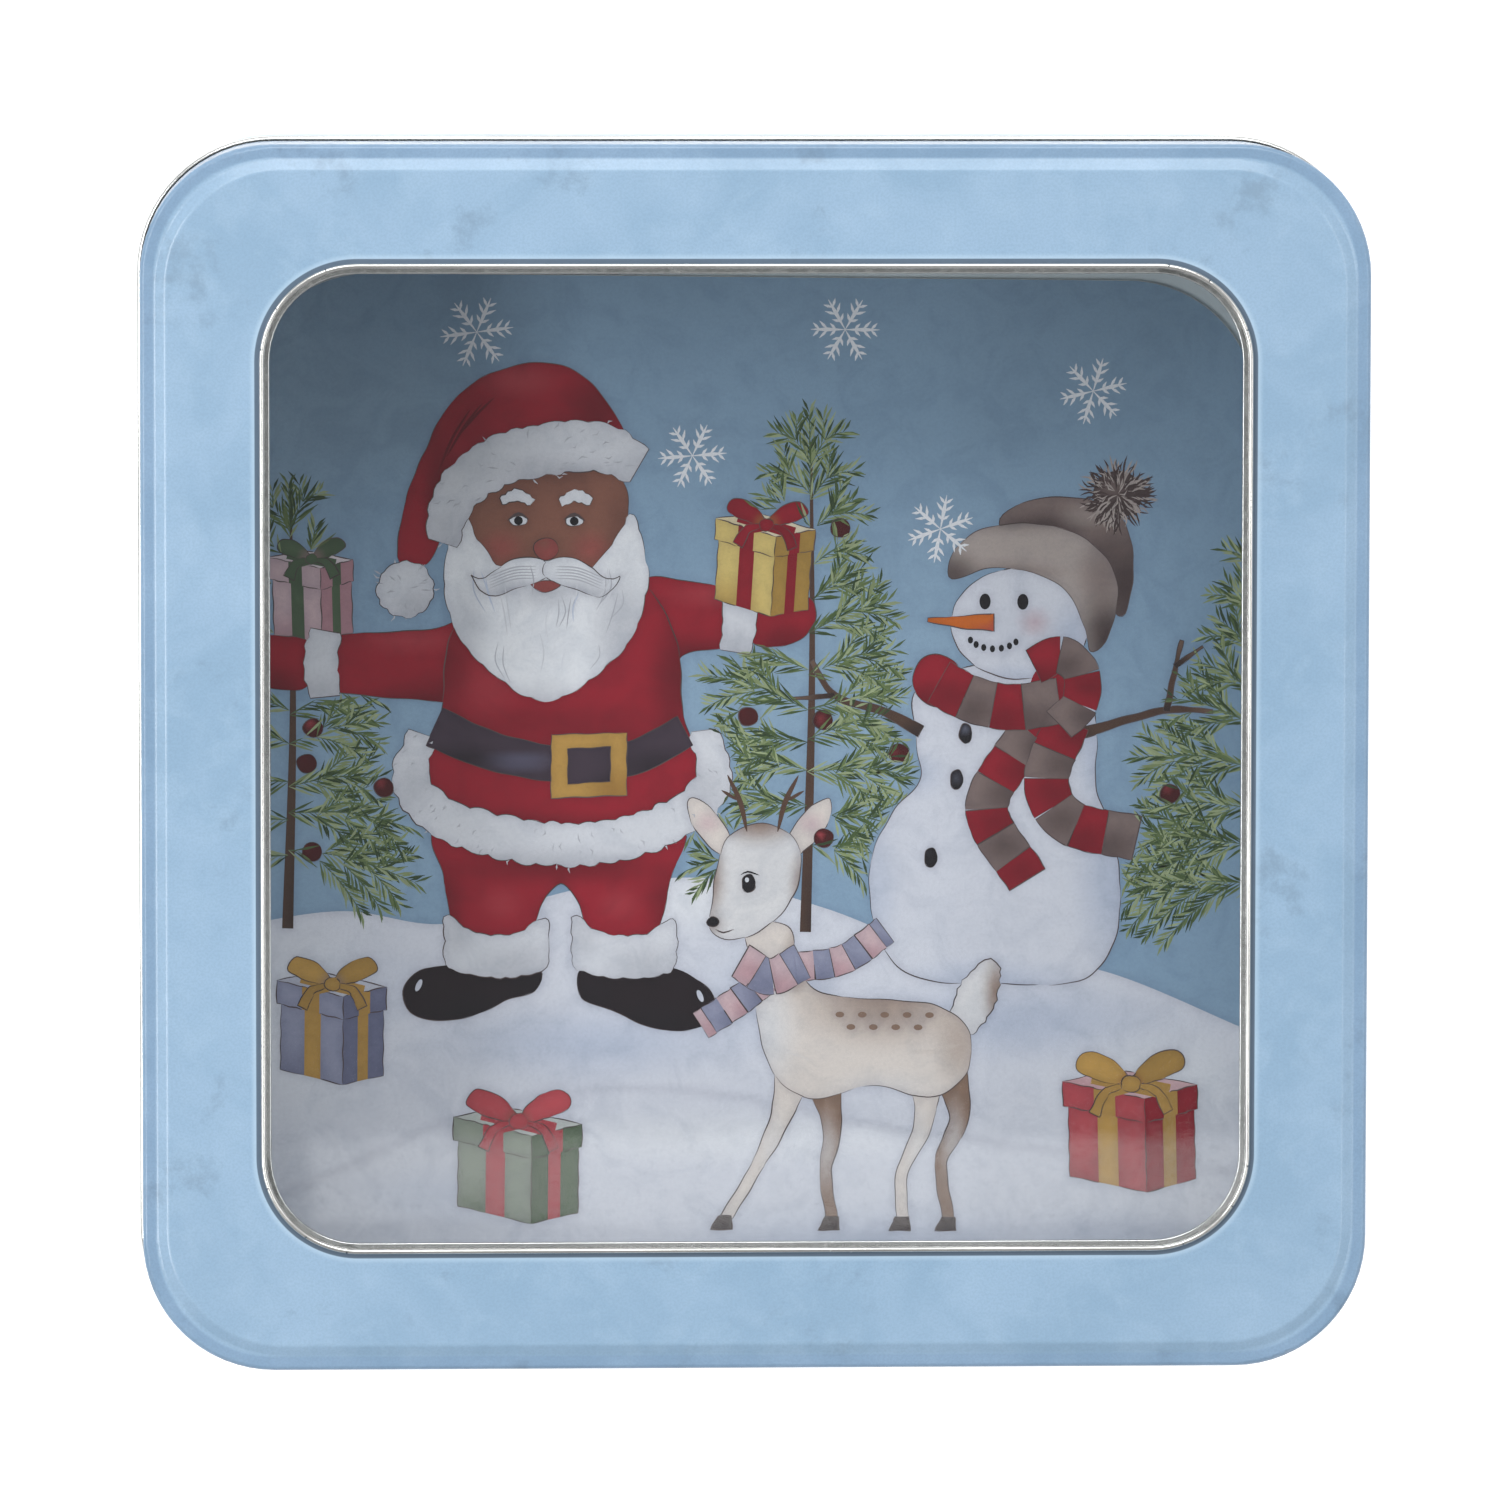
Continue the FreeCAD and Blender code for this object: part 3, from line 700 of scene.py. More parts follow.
def paint_figure():
    """A bearded figure in a red coat with fur trim, with its arms held out."""
    middle = -31
    for side, foot in ((-1, -40.5), (1, -42)):
        x = middle + side * 10.8
        boot = [(-6.5, -31), (-7, foot + 5.5), (-2, foot + 3.6), (3, foot + 1.2), (9, foot),
                (14.4, foot + 1.4), (15.6, foot + 5.2), (13, foot + 8.4), (7, -31)]
        paint(sample(facing(side, x, 0, boot)), BOOT, (COAL, x + side * 4, foot, 14, 6, 0.8),
              (COAL, x - side * 5, foot + 6, 5, 5, 0.5))
        paint(oval(x + side * 13, foot + 6, 0.45, 1.1, 24 * side, spacing=0.4), SNOW, lined=False)

    trousers = [(-20.6, -7), (-19.8, -16), (-17.4, -25), (-10.6, -26.4), (-5, -25), (-3.2, -20.6), (0, -17),
                (3.2, -20.6), (5, -25.6), (10.6, -27.4), (16, -26), (18.6, -16), (20, -7), (0, -5)]
    paint_at(middle, 0, trousers, RED, (RED_DEEP, 0, -14.5, 24, 3.6, 0.75), (RED_DEEP, -19, -20, 4, 9, 0.6),
             (RED_DEEP, 17, -20, 4, 9, 0.6), (RED_LIGHT, -10, -20.5, 5, 4, 0.3),
             (RED_LIGHT, 10, -20.5, 5, 4, 0.3))
    for side in (-1, 1):
        cuff = [(-8.4, -22.6), (-4, -25.4), (3, -25.8), (8.2, -23), (8.8, -27.6), (7.8, -31.8), (0, -33),
                (-7.8, -31.4), (-8.6, -27)]
        paint_at(middle + side * 10.8, 0, cuff, FUR, (FUR_GREY, 4, -31, 9, 5, 0.7),
                 (FUR_GREY, -7, -26, 4, 5, 0.5), fluff=(0.3, 2.8))

    for side, reach, y in ((-1, 40, 20), (1, 29, 28)):
        hand = middle + side * reach
        arm = [(13, 33), (20, y + 6.4), (reach, y + 4), (reach + 1, y - 4), (20, y - 6.5), (14, 12)]
        paint(sample(facing(side, middle, 0, arm)), RED, (RED_DEEP, middle + side * 22, y - 7, 14, 6, 0.9),
              (RED_LIGHT, middle + side * 26, y + 4, 12, 3, 0.4))
        mitten = [(2, 3), (8, 4.6), (12.6, 3.6), (13.6, 0), (10, -4), (3, -4)]
        paint(sample(facing(side, hand, y, mitten), spacing=0.6), RED,
              (RED_DEEP, hand + side * 8, y - 4, 7, 5, 0.8))
        cuff = band([(hand, y + 5.4), (hand + side * 0.8, y), (hand, y - 5.6)], (5, 5.6, 5))
        paint(fluffy(cuff, 0.3, 2.6), FUR, (FUR_GREY, hand, y - 5, 5, 5, 0.7))

    coat = [(-13, 33), (0, 36), (13, 34), (19.2, 24), (20.4, 12), (23.4, 2), (20, -7), (0, -10), (-20, -7),
            (-23.4, 2), (-20.4, 12), (-19.2, 24)]
    paint_at(middle, 0, coat, RED, (RED_DEEP, 19, 18, 6, 15, 0.8), (RED_DEEP, 0, 10, 26, 5, 0.5),
             (RED_DEEP, -4, -8, 26, 5, 0.6), (RED_LIGHT, -13, 16, 8, 7, 0.25),
             (RED_DEEP, -19, 20, 5, 13, 0.6))
    hem = [(-23.8, 8), (-25.4, 0), (-20, -6), (-10, -9.2), (0, -10.4), (10, -9.4), (20, -5.6), (25.6, 0.6),
           (24, 9)]
    fur = fluffy(band(shift(middle, 0, hem), (4.2, 6, 6.6, 6.8, 6.8, 6.8, 6.4, 6, 4.2)), 0.55, 3.4)
    paint(fur, FUR, (FUR_GREY, middle, -13.5, 26, 3.5, 0.8), (FUR_GREY, middle + 24, -1, 6, 7, 0.6),
          (FUR_GREY, middle - 25, -1, 5, 7, 0.5))
    tufts(fur, 130, 1.6, FUR_GREY, down=0.5)
    belt = shift(middle, 0, [(-21.6, 9.4), (-12, 5.4), (0, 3.2), (12, 4.4), (20.8, 9)])
    paint(band(belt, (7, 6.4, 6, 5.8, 5.6)), LEATHER, (LEATHER_DEEP, middle + 16, 3, 10, 4, 0.8),
          (LEATHER_DEEP, middle - 16, 4, 9, 3, 0.8), (LILAC_DEEP, middle - 7, 3.6, 8, 2, 0.45))
    for half_x, half_y, colour, deep in ((6.4, 5.2, GOLD, GOLD_DEEP), (3.6, 2.8, LEATHER, LEATHER_DEEP)):
        corners = [(4.6 - half_x, 2.6 - half_y), (4.6 + half_x, 3.2 - half_y), (4.6 + half_x, 3.4 + half_y),
                   (4.6 - half_x, 3 + half_y)]
        paint(straight(shift(middle, 0, corners), 0.6), colour, (deep, middle + 9, -1, 6, 5, 0.7))
    paint_head(middle - 3, 44)


def paint_head(x, y):
    """The head round its middle: eyes half way down it, the nose half way from there to the chin."""
    face = [(-12, 8), (0, 10), (12, 8), (13.5, -1), (9, -12), (0, -15), (-9, -12), (-13.5, -1)]
    paint_at(x, y, face, SKIN, (SKIN_ROSE, -7.6, -4.4, 5, 4, 0.75), (SKIN_ROSE, 7.6, -4.4, 5, 4, 0.75),
             (SKIN_DEEP, 0, 9, 15, 5, 0.6), (SKIN_DEEP, 12, 0, 4, 9, 0.4))
    beard = [(-14.6, 1), (-11.6, -3), (-7, -8), (0, -6.6), (7, -8), (11.6, -3), (14.6, 1), (17, -9),
             (14.6, -19), (8, -26), (0, -30), (-8, -26), (-14.6, -19), (-17, -9)]
    beard = paint_at(x, y, beard, SNOW_WHITE, (FUR_GREY, 13, -18, 7, 14, 0.7), (FUR_GREY, 0, -12, 9, 4, 0.6),
                     (FUR_GREY, -13, -18, 5, 12, 0.5), (FUR_GREY, 0, -30, 9, 5, 0.5), fluff=(0.4, 4.6))
    for _ in range(30):
        start = Vector((x + chance.uniform(-13, 13), y - chance.uniform(7, 22)))
        sweep = 0.16 * (x - start.x)
        length = chance.uniform(4, 7.5)
        path = [start, start + Vector((sweep * 0.2 + chance.uniform(-0.8, 0.8), -0.5 * length)),
                start + Vector((sweep, -length))]
        if inside(path[0], beard) and inside(path[-1], beard):
            stroke(path, 0.22, vary(chance.choice((FUR_GREY, FUR, SNOW_BLUE))))
    mouth = [(-2.6, -10.4), (0, -9.8), (2.6, -10.4), (0, -11.8)]
    paint(sample(shift(x, y, mouth), spacing=0.5), SKIN_ROSE)
    for side in (-1, 1):
        whisker = [(0, -6.6), (5, -6), (10.4, -9.4), (12.6, -9), (9.6, -12.4), (4.4, -11), (0, -9.2)]
        paint(sample(facing(side, x, y, whisker), spacing=0.6), SNOW_WHITE,
              (FUR_GREY, x + side * 6, y - 11.6, 7, 3, 0.8))
        for hair in range(5):
            top = -7.4 - 0.5 * hair
            stroke(facing(side, x, y, [(1.6, top), (5.4, top - 0.2), (9.6, top - 1.8)]), 0.24, FUR_GREY)
        eye_x = x + side * 4.7
        paint(oval(eye_x, y + 0.3, 1.5, 0.85, spacing=0.35), SNOW_WHITE)
        paint(oval(eye_x, y + 0.3, 0.75, 0.75, spacing=0.35), COAL, lined=False)
        stroke(facing(side, x, y, [(2.9, 0.5), (4.7, 1.5), (6.6, 0.3)]), 0.5, PENCIL, level=3)
        brow = band(facing(side, x, y, [(2.4, 3.4), (4.8, 4.6), (7.6, 3.6)]), (1.2, 2.0, 1.2), 0.5)
        paint(fluffy(brow, 0.25, 1.0), SNOW_WHITE)
    paint(oval(x, y - 4.4, 2.1, 1.9), SKIN_ROSE, (SKIN, x - 0.7, y - 3.7, 1.6, 1.4, 0.9))

    hat = [(-20.5, 12), (-17, 19), (-11, 24.4), (-2, 27), (5, 25.4), (10, 20.4), (13, 14), (4, 15), (-8, 13),
           (-15, 6), (-18.4, -4.6), (-21.6, -8), (-25, -6), (-23.6, 4)]
    paint_at(x, y, hat, RED, (RED_DEEP, 8, 19, 8, 8, 0.8), (RED_LIGHT, -5, 24, 9, 4, 0.5),
             (RED_DEEP, -18, 6, 4, 12, 0.8))
    for fold in range(3):
        line = [(-13 + 2 * fold, 19 + fold), (-16 + 2 * fold, 14 + 2 * fold),
                (-18.4 + 1.5 * fold, 8 + 3 * fold)]
        stroke(shift(x, y, line), 0.45, RED_DEEP)
    brim = shift(x, y, [(-17.4, -3.4), (-15.8, 3.6), (-9.6, 9.6), (0, 12.4), (9, 12.8), (15.4, 9.8)])
    brim = fluffy(band(brim, (5.0, 7.0, 8.0, 8.4, 8.0, 6.4)), 0.5, 3.6)
    paint(brim, FUR, (FUR_GREY, x + 2, y + 8.4, 16, 4, 0.8), (FUR_GREY, x + 15, y + 8, 5, 5, 0.5),
          (FUR_GREY, x - 17, y - 2, 5, 6, 0.6))
    tufts(brim, 90, 1.6, FUR_GREY)
    ball = fluffy(oval(x - 23.6, y - 11.4, 4.6, 4.6), 0.4, 2.2)
    paint(ball, FUR, (FUR_GREY, x - 22, y - 14.4, 5, 4, 0.8))
    tufts(ball, 26, 1.4, FUR_GREY)


def paint_snowman():
    """A snowman with a round head on a pear of snow, stick arms, a soft hat and a striped scarf."""
    left, right = 21.6, 63.8
    body = [(29.4, 17), (28.8, 8), (29.6, 1), (25.4, -4), (left, -12), (left, -21), (24.6, -29), (31, -33),
            (44, -33.6), (57, -33), (62.6, -27), (right, -18), (62.4, -8), (59.4, 0), (59.4, 9), (57, 17),
            (44, 21)]
    paint(sample(body), SNOW, (SNOW_BLUE, right - 1, -16, 9, 19, 0.9), (SNOW_BLUE, left + 1, -18, 5, 14, 0.6),
          (SNOW_BLUE, 42, -34, 22, 6, 0.8), (SNOW_BLUE, 59, 6, 4, 12, 0.8), (SNOW_BLUE, 30, 2, 5, 5, 0.6))
    for twig, widths in (([(55.4, 8.6), (63, 11), (71.5, 13.2), (79, 13)], (2.2, 1.3, 1.1, 0.7)),
                         ([(71.2, 13), (72.3, 19), (73.6, 25)], (1.1, 0.9, 0.6)),
                         ([(72.5, 20.6), (77.2, 24)], (0.9, 0.5)),
                         ([(29.6, 9.2), (23.6, 12.4), (15, 15.2), (11, 21)], (2.2, 1.4, 1.1, 0.8)),
                         ([(15, 15.2), (8, 14.6)], (1.0, 0.5))):
        paint(band(twig, widths, 0.7), BARK, (COAL, *twig[0], 5, 3, 0.7), (FAWN_DEEP, *twig[-1], 5, 4, 0.5))

    x, y = 46.2, 27.6
    paint(oval(x, y, 11.7, 9.4), SNOW, (SNOW_BLUE, x + 9, y - 3, 5, 9, 0.8), (SNOW_BLUE, x, y - 9, 9, 3, 0.6),
          (PINK_DEEP, x + 2.4, y + 0.2, 3.6, 3.2, 0.55))
    for eye in (x - 6, x + 0.4):
        paint(oval(eye, y + 3.7, 0.95, 1.35, spacing=0.4), COAL, lined=False)
    for k in range(7):
        angle = math.radians(-150 + 19 * k)
        spot = (x - 4.4 + 4.6 * math.cos(angle), y - 1.4 + 2.9 * math.sin(angle))
        paint(oval(*spot, 0.45, 0.6, spacing=0.35), COAL, lined=False)
    paint(band([(x - 4.4, y + 0.2), (x - 10, y + 0.2), (x - 15.6, y + 0.5)], (3.0, 2.1, 0.6), 0.6), ORANGE,
          (RED_LIGHT, x - 4, y - 1, 5, 1.6, 0.7))
    for x, y in ((37.2, 8.9), (35.8, 1.1), (31.6, -12.2)):
        paint(oval(x, y, 1.1, 1.7, spacing=0.4), COAL, (LILAC, x - 0.3, y + 0.7, 0.7, 0.7, 0.5))

    crown = [(43, 43.6), (45.4, 47.6), (51, 49), (58, 48.6), (62.8, 46), (64.9, 41), (65, 34), (63, 29),
             (57, 36)]
    paint(sample(crown), WOOL, (WOOL_DEEP, 64, 34, 6, 13, 1.0), (WOOL_DEEP, 50, 44, 11, 4, 0.9),
          (WOOL_PALE, 57, 46, 6, 3, 0.5), (WOOL_DEEP, 60, 40, 4, 5, 0.6))
    brim = [(34.6, 35), (34, 38), (36.4, 41.6), (40.4, 43.8), (46.9, 44.6), (53.7, 43.6), (59.2, 40.4),
            (62.3, 35.6), (62.4, 30), (60.6, 24.6), (58.2, 23), (57, 27.4), (54.4, 32.6), (51, 35.2),
            (45.5, 36.8), (40, 36.8)]
    paint(sample(brim), WOOL_PALE, (WOOL_DEEP, 35, 36, 6, 5, 0.9), (WOOL_DEEP, 60.6, 26, 6, 11, 1.0),
          (WOOL, 60, 36, 6, 8, 0.8), (WOOL_DEEP, 46, 45.4, 14, 3, 0.6), (WOOL, 45, 36.4, 12, 2.4, 0.6))
    ball = oval(62.4, 49.6, 4.2, 4)
    paint(ball, WOOL_DEEP, (WOOL, 61.4, 51, 4, 3, 0.7), lined=False)
    tufts(ball, 200, 2.8, WOOL_DEEP)
    tufts(ball, 130, 2.6, WOOL_PALE)

    stripes = ((RED, RED_DEEP), (WOOL, WOOL_DEEP))
    striped_band([(51.6, 13), (45.2, 5), (41, -4.4), (48, -15.8)], 7.2, stripes)
    striped_band([(54.4, 11), (51, 1), (55, -6), (66.4, -8.6)], 7.6, stripes)
    paint(oval(32.4, 17.8, 4.2, 4.6, 24), RED, (RED_DEEP, 31, 15, 4, 4, 0.8))
    paint(oval(51.6, 16.6, 3.6, 4.4), RED, (RED_DEEP, 51, 15, 4, 4, 0.8), lined=False)
    striped_band([(32.6, 17.6), (38, 14.8), (45, 13.4), (53, 14.6)], 7.8, stripes)
    striped_band([(48.6, 20.4), (53, 22.4), (56.6, 19.4), (56.4, 14), (53, 10.6)], 6.2, stripes)


def striped_band(points, width, colours, pitch=5.2):
    """A knitted band cut across into stripes of two colours."""
    line = sample(points, closed=False, spacing=0.5)
    step = round(pitch / 0.5)
    for count, start in enumerate(range(0, len(line) - step // 2, step)):
        stop = start + step + 1 if start + 1.5 * step < len(line) else len(line)
        colour, deep = colours[count % 2]
        x, y = line[start]
        tint = (deep, x + 0.2 * width, y - 0.3 * width, 0.8 * width, 0.6 * width, 0.7)
        paint(band(line[start:stop], (width, width), 0.5), colour, tint)


def paint_fawn():
    """A young deer stepping to the left, with small antlers, a spotted back and a scarf."""
    for line, shade in (([(34, -45), (37, -56), (34, -64), (35.4, -74)], FAWN_DEEP),
                        ([(13, -47), (15.4, -58), (14.4, -66), (15.6, -74)], FAWN_DEEP),
                        ([(31, -45), (31, -57), (27.4, -66), (27.6, -74)], FAWN),
                        ([(9.5, -46), (6.5, -57), (1.6, -67), (-2.6, -74)], FAWN)):
        x, y = line[-1]
        paint(band(line, (7.4, 3.6, 2.0, 2.0)), shade, (CREAM, line[1][0] - 1, line[1][1] - 4, 3, 9, 0.5))
        hoof = shift(x, y, [(-1.2, 0.6), (1.1, 0.6), (1.3, -1.8), (-2.4, -1.8)])
        paint(straight(hoof, 0.5), WOOL_DEEP, (COAL, x, y - 2, 2, 2, 0.7))
    tail = [(35, -41), (37, -34), (41, -29.6), (43.4, -31), (42.6, -37), (39, -42)]
    paint(fluffy(sample(tail), 0.35, 1.6), CREAM, (FAWN_DEEP, 43, -35, 3, 8, 0.9))
    body = [(0.4, -24), (7.6, -24), (9, -30), (12, -34.6), (17, -36), (24, -36.4), (33, -37.4), (38.4, -41.6),
            (38, -49), (32, -53), (22, -51), (13, -53.4), (7, -51), (3.6, -45), (2, -36), (1.4, -30)]
    paint(sample(body), FAWN, (FAWN_DEEP, 24, -36, 20, 11, 0.75), (CREAM, 4, -42, 7, 14, 0.95),
          (FAWN_DEEP, 37, -44, 6, 9, 0.5), (CREAM, 24, -52, 12, 5, 0.5), (FAWN_DEEP, 9, -30, 3, 8, 0.7))
    for k in range(9):
        paint(oval(16.5 + 1.9 * k, -39 - 2.1 * (k % 2), 0.75, 0.5, spacing=0.4), FAWN_DEEP, lined=False)
    for side, x in ((-1, -2.4), (1, 7.4)):
        ear = facing(side, x, 0, [(0, -9), (3.4, -4), (7, -2.4), (6.4, -7), (1.6, -12)])
        paint(sample(ear, spacing=0.6), FAWN, (PINK, x + side * 3.8, -6.6, 3, 2.6, 0.8))
    for side, x in ((-1, 0.4), (1, 5.6)):
        stroke(facing(side, x, 0, [(0, -8), (1.2, -3), (3.4, 1.6)]), 0.9, BARK, level=3)
        stroke(facing(side, x, 0, [(1.4, -2.8), (4.4, -1)]), 0.6, BARK, level=3)
    head = [(-2.4, -8.6), (3, -6.6), (8.4, -9), (9.6, -14.6), (7.4, -20.6), (2.6, -25), (-2.4, -26.4),
            (-5.6, -24.6), (-5.4, -20.6), (-4.6, -14)]
    paint(sample(head), CREAM, (FAWN_DEEP, 2.4, -6.6, 9, 4.6, 0.9), (FAWN_DEEP, -5.6, -16, 3.2, 9, 0.85),
          (FAWN_DEEP, 9.6, -17, 2.6, 8, 0.7), (FAWN_DEEP, -5.4, -24, 3, 3, 0.5))
    paint(oval(0.8, -16.8, 1.15, 1.6, spacing=0.4), COAL)
    paint(oval(0.5, -16.2, 0.36, 0.42, spacing=0.3), SNOW_WHITE, lined=False)
    stroke([(-0.6, -15.4), (0.6, -14.8), (2.6, -15.4)], 0.3, COAL, level=3)
    paint(oval(-5.2, -23.4, 1.0, 0.85, spacing=0.35), COAL)
    stroke([(-4.8, -24.6), (-3.4, -25.2), (-1.6, -24.6)], 0.26, PENCIL, level=3)
    stripes = ((PINK, PINK_DEEP), (LILAC, LILAC_DEEP))
    for line, width in (([(4, -33), (-1, -37), (-7, -41)], 5.0), ([(9, -31), (17, -29.6), (24, -24.6)], 5.0),
                        ([(-0.4, -30), (4.6, -32.6), (10, -30)], 6.2)):
        striped_band(line, width, stripes, pitch=2.8)


def paint_snowflake(x, y, size, turn=0.0):
    """Six arms with two pairs of barbs each."""
    for arm in range(6):
        angle = math.radians(60 * arm + turn)
        ahead = Vector((math.cos(angle), math.sin(angle)))
        side = Vector((-ahead.y, ahead.x))
        middle = Vector((x, y))
        strokes.append(([middle, middle + 0.55 * size * ahead, middle + size * ahead], 0.7, SNOW_WHITE, 4))
        for where, barb in ((0.26, 0.26), (0.5, 0.36), (0.74, 0.28)):
            root = middle + where * size * ahead
            for flank in (-1, 1):
                tip = root + barb * size * (0.7 * ahead + 0.7 * flank * side)
                strokes.append(([root, root.lerp(tip, 0.5), tip], 0.5, SNOW_WHITE, 4))


# Each fir's x, the top and foot of its trunk, and its longest branch.
FIRS = ((-77, 45, -25, 22), (10.5, 58, -25, 23), (87, 38, -28, 27))
BERRIES = ((-73, 9), (-74, 3), (-61, -1), (-73, -12), (15.6, 43.5), (0.4, 11.5), (13, 11), (26, 5.5),
           (13.4, -9), (72, -1))
# Each snowflake's middle, size and turn.
SNOWFLAKES = ((-46, 76, 6.2, 8), (16, 77, 5.8, 0), (58, 67, 5.8, 14), (-9.5, 55.5, 5.8, 5),
              (32.5, 43.5, 5.8, 20))


def paint_picture(card, card_half):
    """Everything in the picture, from the back to the front."""
    paint_sky(card)
    paint_snow(card_half)
    for x, top, foot, _ in FIRS:
        paint_trunk(x, top, foot)
    paint_gift(-71.5, 22, 13, 14, PINK, PINK_DEEP, GREEN_DEEP, turn=2)
    paint_figure()
    paint_gift(4, 28.5, 15.5, 13.5, YELLOW, YELLOW_DEEP, RED, turn=-3)
    paint_snowman()
    paint_fawn()
    paint_gift(-67.5, -51.5, 17, 15, LILAC, LILAC_DEEP, GOLD)
    paint_gift(-35.5, -75, 20, 15, GREEN, GREEN_DEEP, RED_LIGHT)
    paint_gift(69, -69, 21, 16, RED_LIGHT, RED, GOLD, turn=2)
    for x, y in BERRIES:
        if on_backdrop((x, y)):
            paint(oval(x, y, 1.7, 1.6, spacing=0.5), ROWAN, (RED_LIGHT, x - 0.6, y + 0.6, 0.9, 0.8, 0.7))
    for fir in FIRS:
        paint_fir(*fir)
    for flake in SNOWFLAKES:
        paint_snowflake(*flake)


# ---------------------------------------------------------------- the picture as meshes

# Lengths in millimetres, as in the picture: how far its edge lies inside the card's, the grid that
# fills the areas, how far paint pools in from an outline, and how high the sheet and the strokes lie
# above the card. Strokes lie in levels, and within a level each lies a hair above the one before.
CARD_CORNER = 22.0
CARD_INSET = 0.05
CARD_TURN = math.radians(-0.58)
GRID_STEP = 1.4
RIM_REACH = 1.5
SHEET_LIFT = 0.01
STROKE_LIFT = 0.02
LEVEL_LIFT = 0.014
PENCIL_WIDTH = 0.17
STACK_LIFT = 0.0003
STACK_COUNT = 40
# The cut's output kind that keeps only what lies inside the outlines, and how near points merge.
KEEP_INSIDE = 1
MERGE_REACH = 1e-4


def rounded_square_outline(half, corner, spacing=1.4):
    """A square with round corners, as a closed list of points that runs anticlockwise."""
    centre = half - corner
    found = []
    for quarter in range(4):
        middle = math.pi / 4 + quarter * math.pi / 2
        x = centre * math.copysign(1.0, math.cos(middle))
        y = centre * math.copysign(1.0, math.sin(middle))
        arc = round(corner * math.pi / 2 / spacing)
        for k in range(arc + 1):
            angle = quarter * math.pi / 2 + math.pi / 2 * k / arc
            found.append(Vector((x + corner * math.cos(angle), y + corner * math.sin(angle))))
        side = round(2 * centre / spacing)
        step = Vector(((-1, 0), (0, -1), (1, 0), (0, 1))[quarter])
        last = found[-1]
        found += [last + step * (2 * centre * k / side) for k in range(1, side)]
    return found


def cut_areas():
    """Cuts the areas into triangles: the points, the triangles and each one's topmost area."""
    points, faces = [], []
    for area in areas:
        start = len(points)
        points += area.outline if runs_anticlockwise(area.outline) else area.outline[::-1]
        faces.append(list(range(start, len(points))))
    card = areas[0]
    rows = range(round(card.low[1] / GRID_STEP), round(card.high[1] / GRID_STEP) + 1)
    columns = range(round(card.low[0] / GRID_STEP), round(card.high[0] / GRID_STEP) + 1)
    for row in rows:
        for column in columns:
            spot = Vector(((column + 0.5 * (row % 2)) * GRID_STEP, row * GRID_STEP))
            if card.holds(spot):
                points.append(spot)
    found, _, triangles, _, _, sources = delaunay_2d_cdt(points, [], faces, KEEP_INSIDE, MERGE_REACH)
    kept = [(triangle, max(source)) for triangle, source in zip(triangles, sources) if 0 in source]
    return found, [t for t, _ in kept], [owner for _, owner in kept]


def edges_between(triangles, owners):
    """The edges where two different areas meet, each with the upper area."""
    first = {}
    found = {}
    for triangle, owner in zip(triangles, owners):
        for a, b in zip(triangle, triangle[1:] + triangle[:1]):
            key = (min(a, b), max(a, b))
            other = first.setdefault(key, owner)
            if other != owner:
                found[key] = max(other, owner)
    return found


def trace(edges):
    """Chains of points along the edges, each from one junction to the next or once round."""
    links = {}
    for a, b in edges:
        links.setdefault(a, set()).add(b)
        links.setdefault(b, set()).add(a)
    starts = sorted(p for p in links if len(links[p]) != 2) + sorted(links)
    chains = []
    for start in starts:
        while links[start]:
            chain = [start]
            while True:
                here = chain[-1]
                if not links[here] or (len(chain) > 1 and here == start):
                    break
                onward = min(links[here])
                links[here].discard(onward)
                links[onward].discard(here)
                chain.append(onward)
                if len(links[onward]) != 1:
                    break
            chains.append(chain)
    return chains


def pencil_lines(points, edges):
    """A thin line along every lined outline, drawn by hand: it wavers, swells and now and then lifts off."""
    lined = {key for key, owner in edges.items() if areas[owner].lined}
    for chain in trace(lined):
        start = 0
        while start < len(chain) - 1:
            count = chance.randint(14, 46)
            run = [points[k] for k in chain[start:start + count]]
            start += count - (1 if chance.random() < 0.75 else -1)
            if len(run) < 3:
                continue
            drift = chance.uniform(0, 6)
            wavering = [p + 0.07 * Vector((math.sin(drift + 0.9 * k), math.cos(1.7 * drift + 0.7 * k)))
                        for k, p in enumerate(run)]
            strokes.append((wavering, PENCIL_WIDTH * chance.uniform(0.7, 1.3), vary(PENCIL, 0.3), 2))


def card_place():
    """The card's middle, and half its side with its turn allowed for, from the CAD card."""
    low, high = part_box("picture_card")
    extent = 0.5 * (high.x - low.x) / MM
    half = (extent - CARD_CORNER) / (math.cos(CARD_TURN) + abs(math.sin(CARD_TURN))) + CARD_CORNER
    return Vector(((low.x + high.x) / 2, (low.y + high.y) / 2, high.z)), half


def on_card(middle, point, lift):
    """A point of the picture, in millimetres, as a place in the frame."""
    cosine, sine = math.cos(CARD_TURN), math.sin(CARD_TURN)
    x, y = point.x * cosine - point.y * sine, point.x * sine + point.y * cosine
    return middle + MM * Vector((x, y, lift))


def add_object(name, data):
    thing = bpy.data.objects.new(name, data)
    bpy.context.scene.collection.objects.link(thing)
    return thing


def paint_mesh(name, corners, faces, colours, rims=None):
    """A mesh piece that rides on the card, coloured at its face corners."""
    mesh = bpy.data.meshes.new(name)
    mesh.from_pydata(corners, [], faces)
    layer = mesh.attributes.new("Paint", "FLOAT_COLOR", "CORNER")
    layer.data.foreach_set("color", [value for colour in colours for value in (*colour, 1.0)])
    if rims is not None:
        mesh.attributes.new("Rim", "FLOAT", "POINT").data.foreach_set("value", rims)
    piece = add_object(name, mesh)
    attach(piece, "card")
    return piece


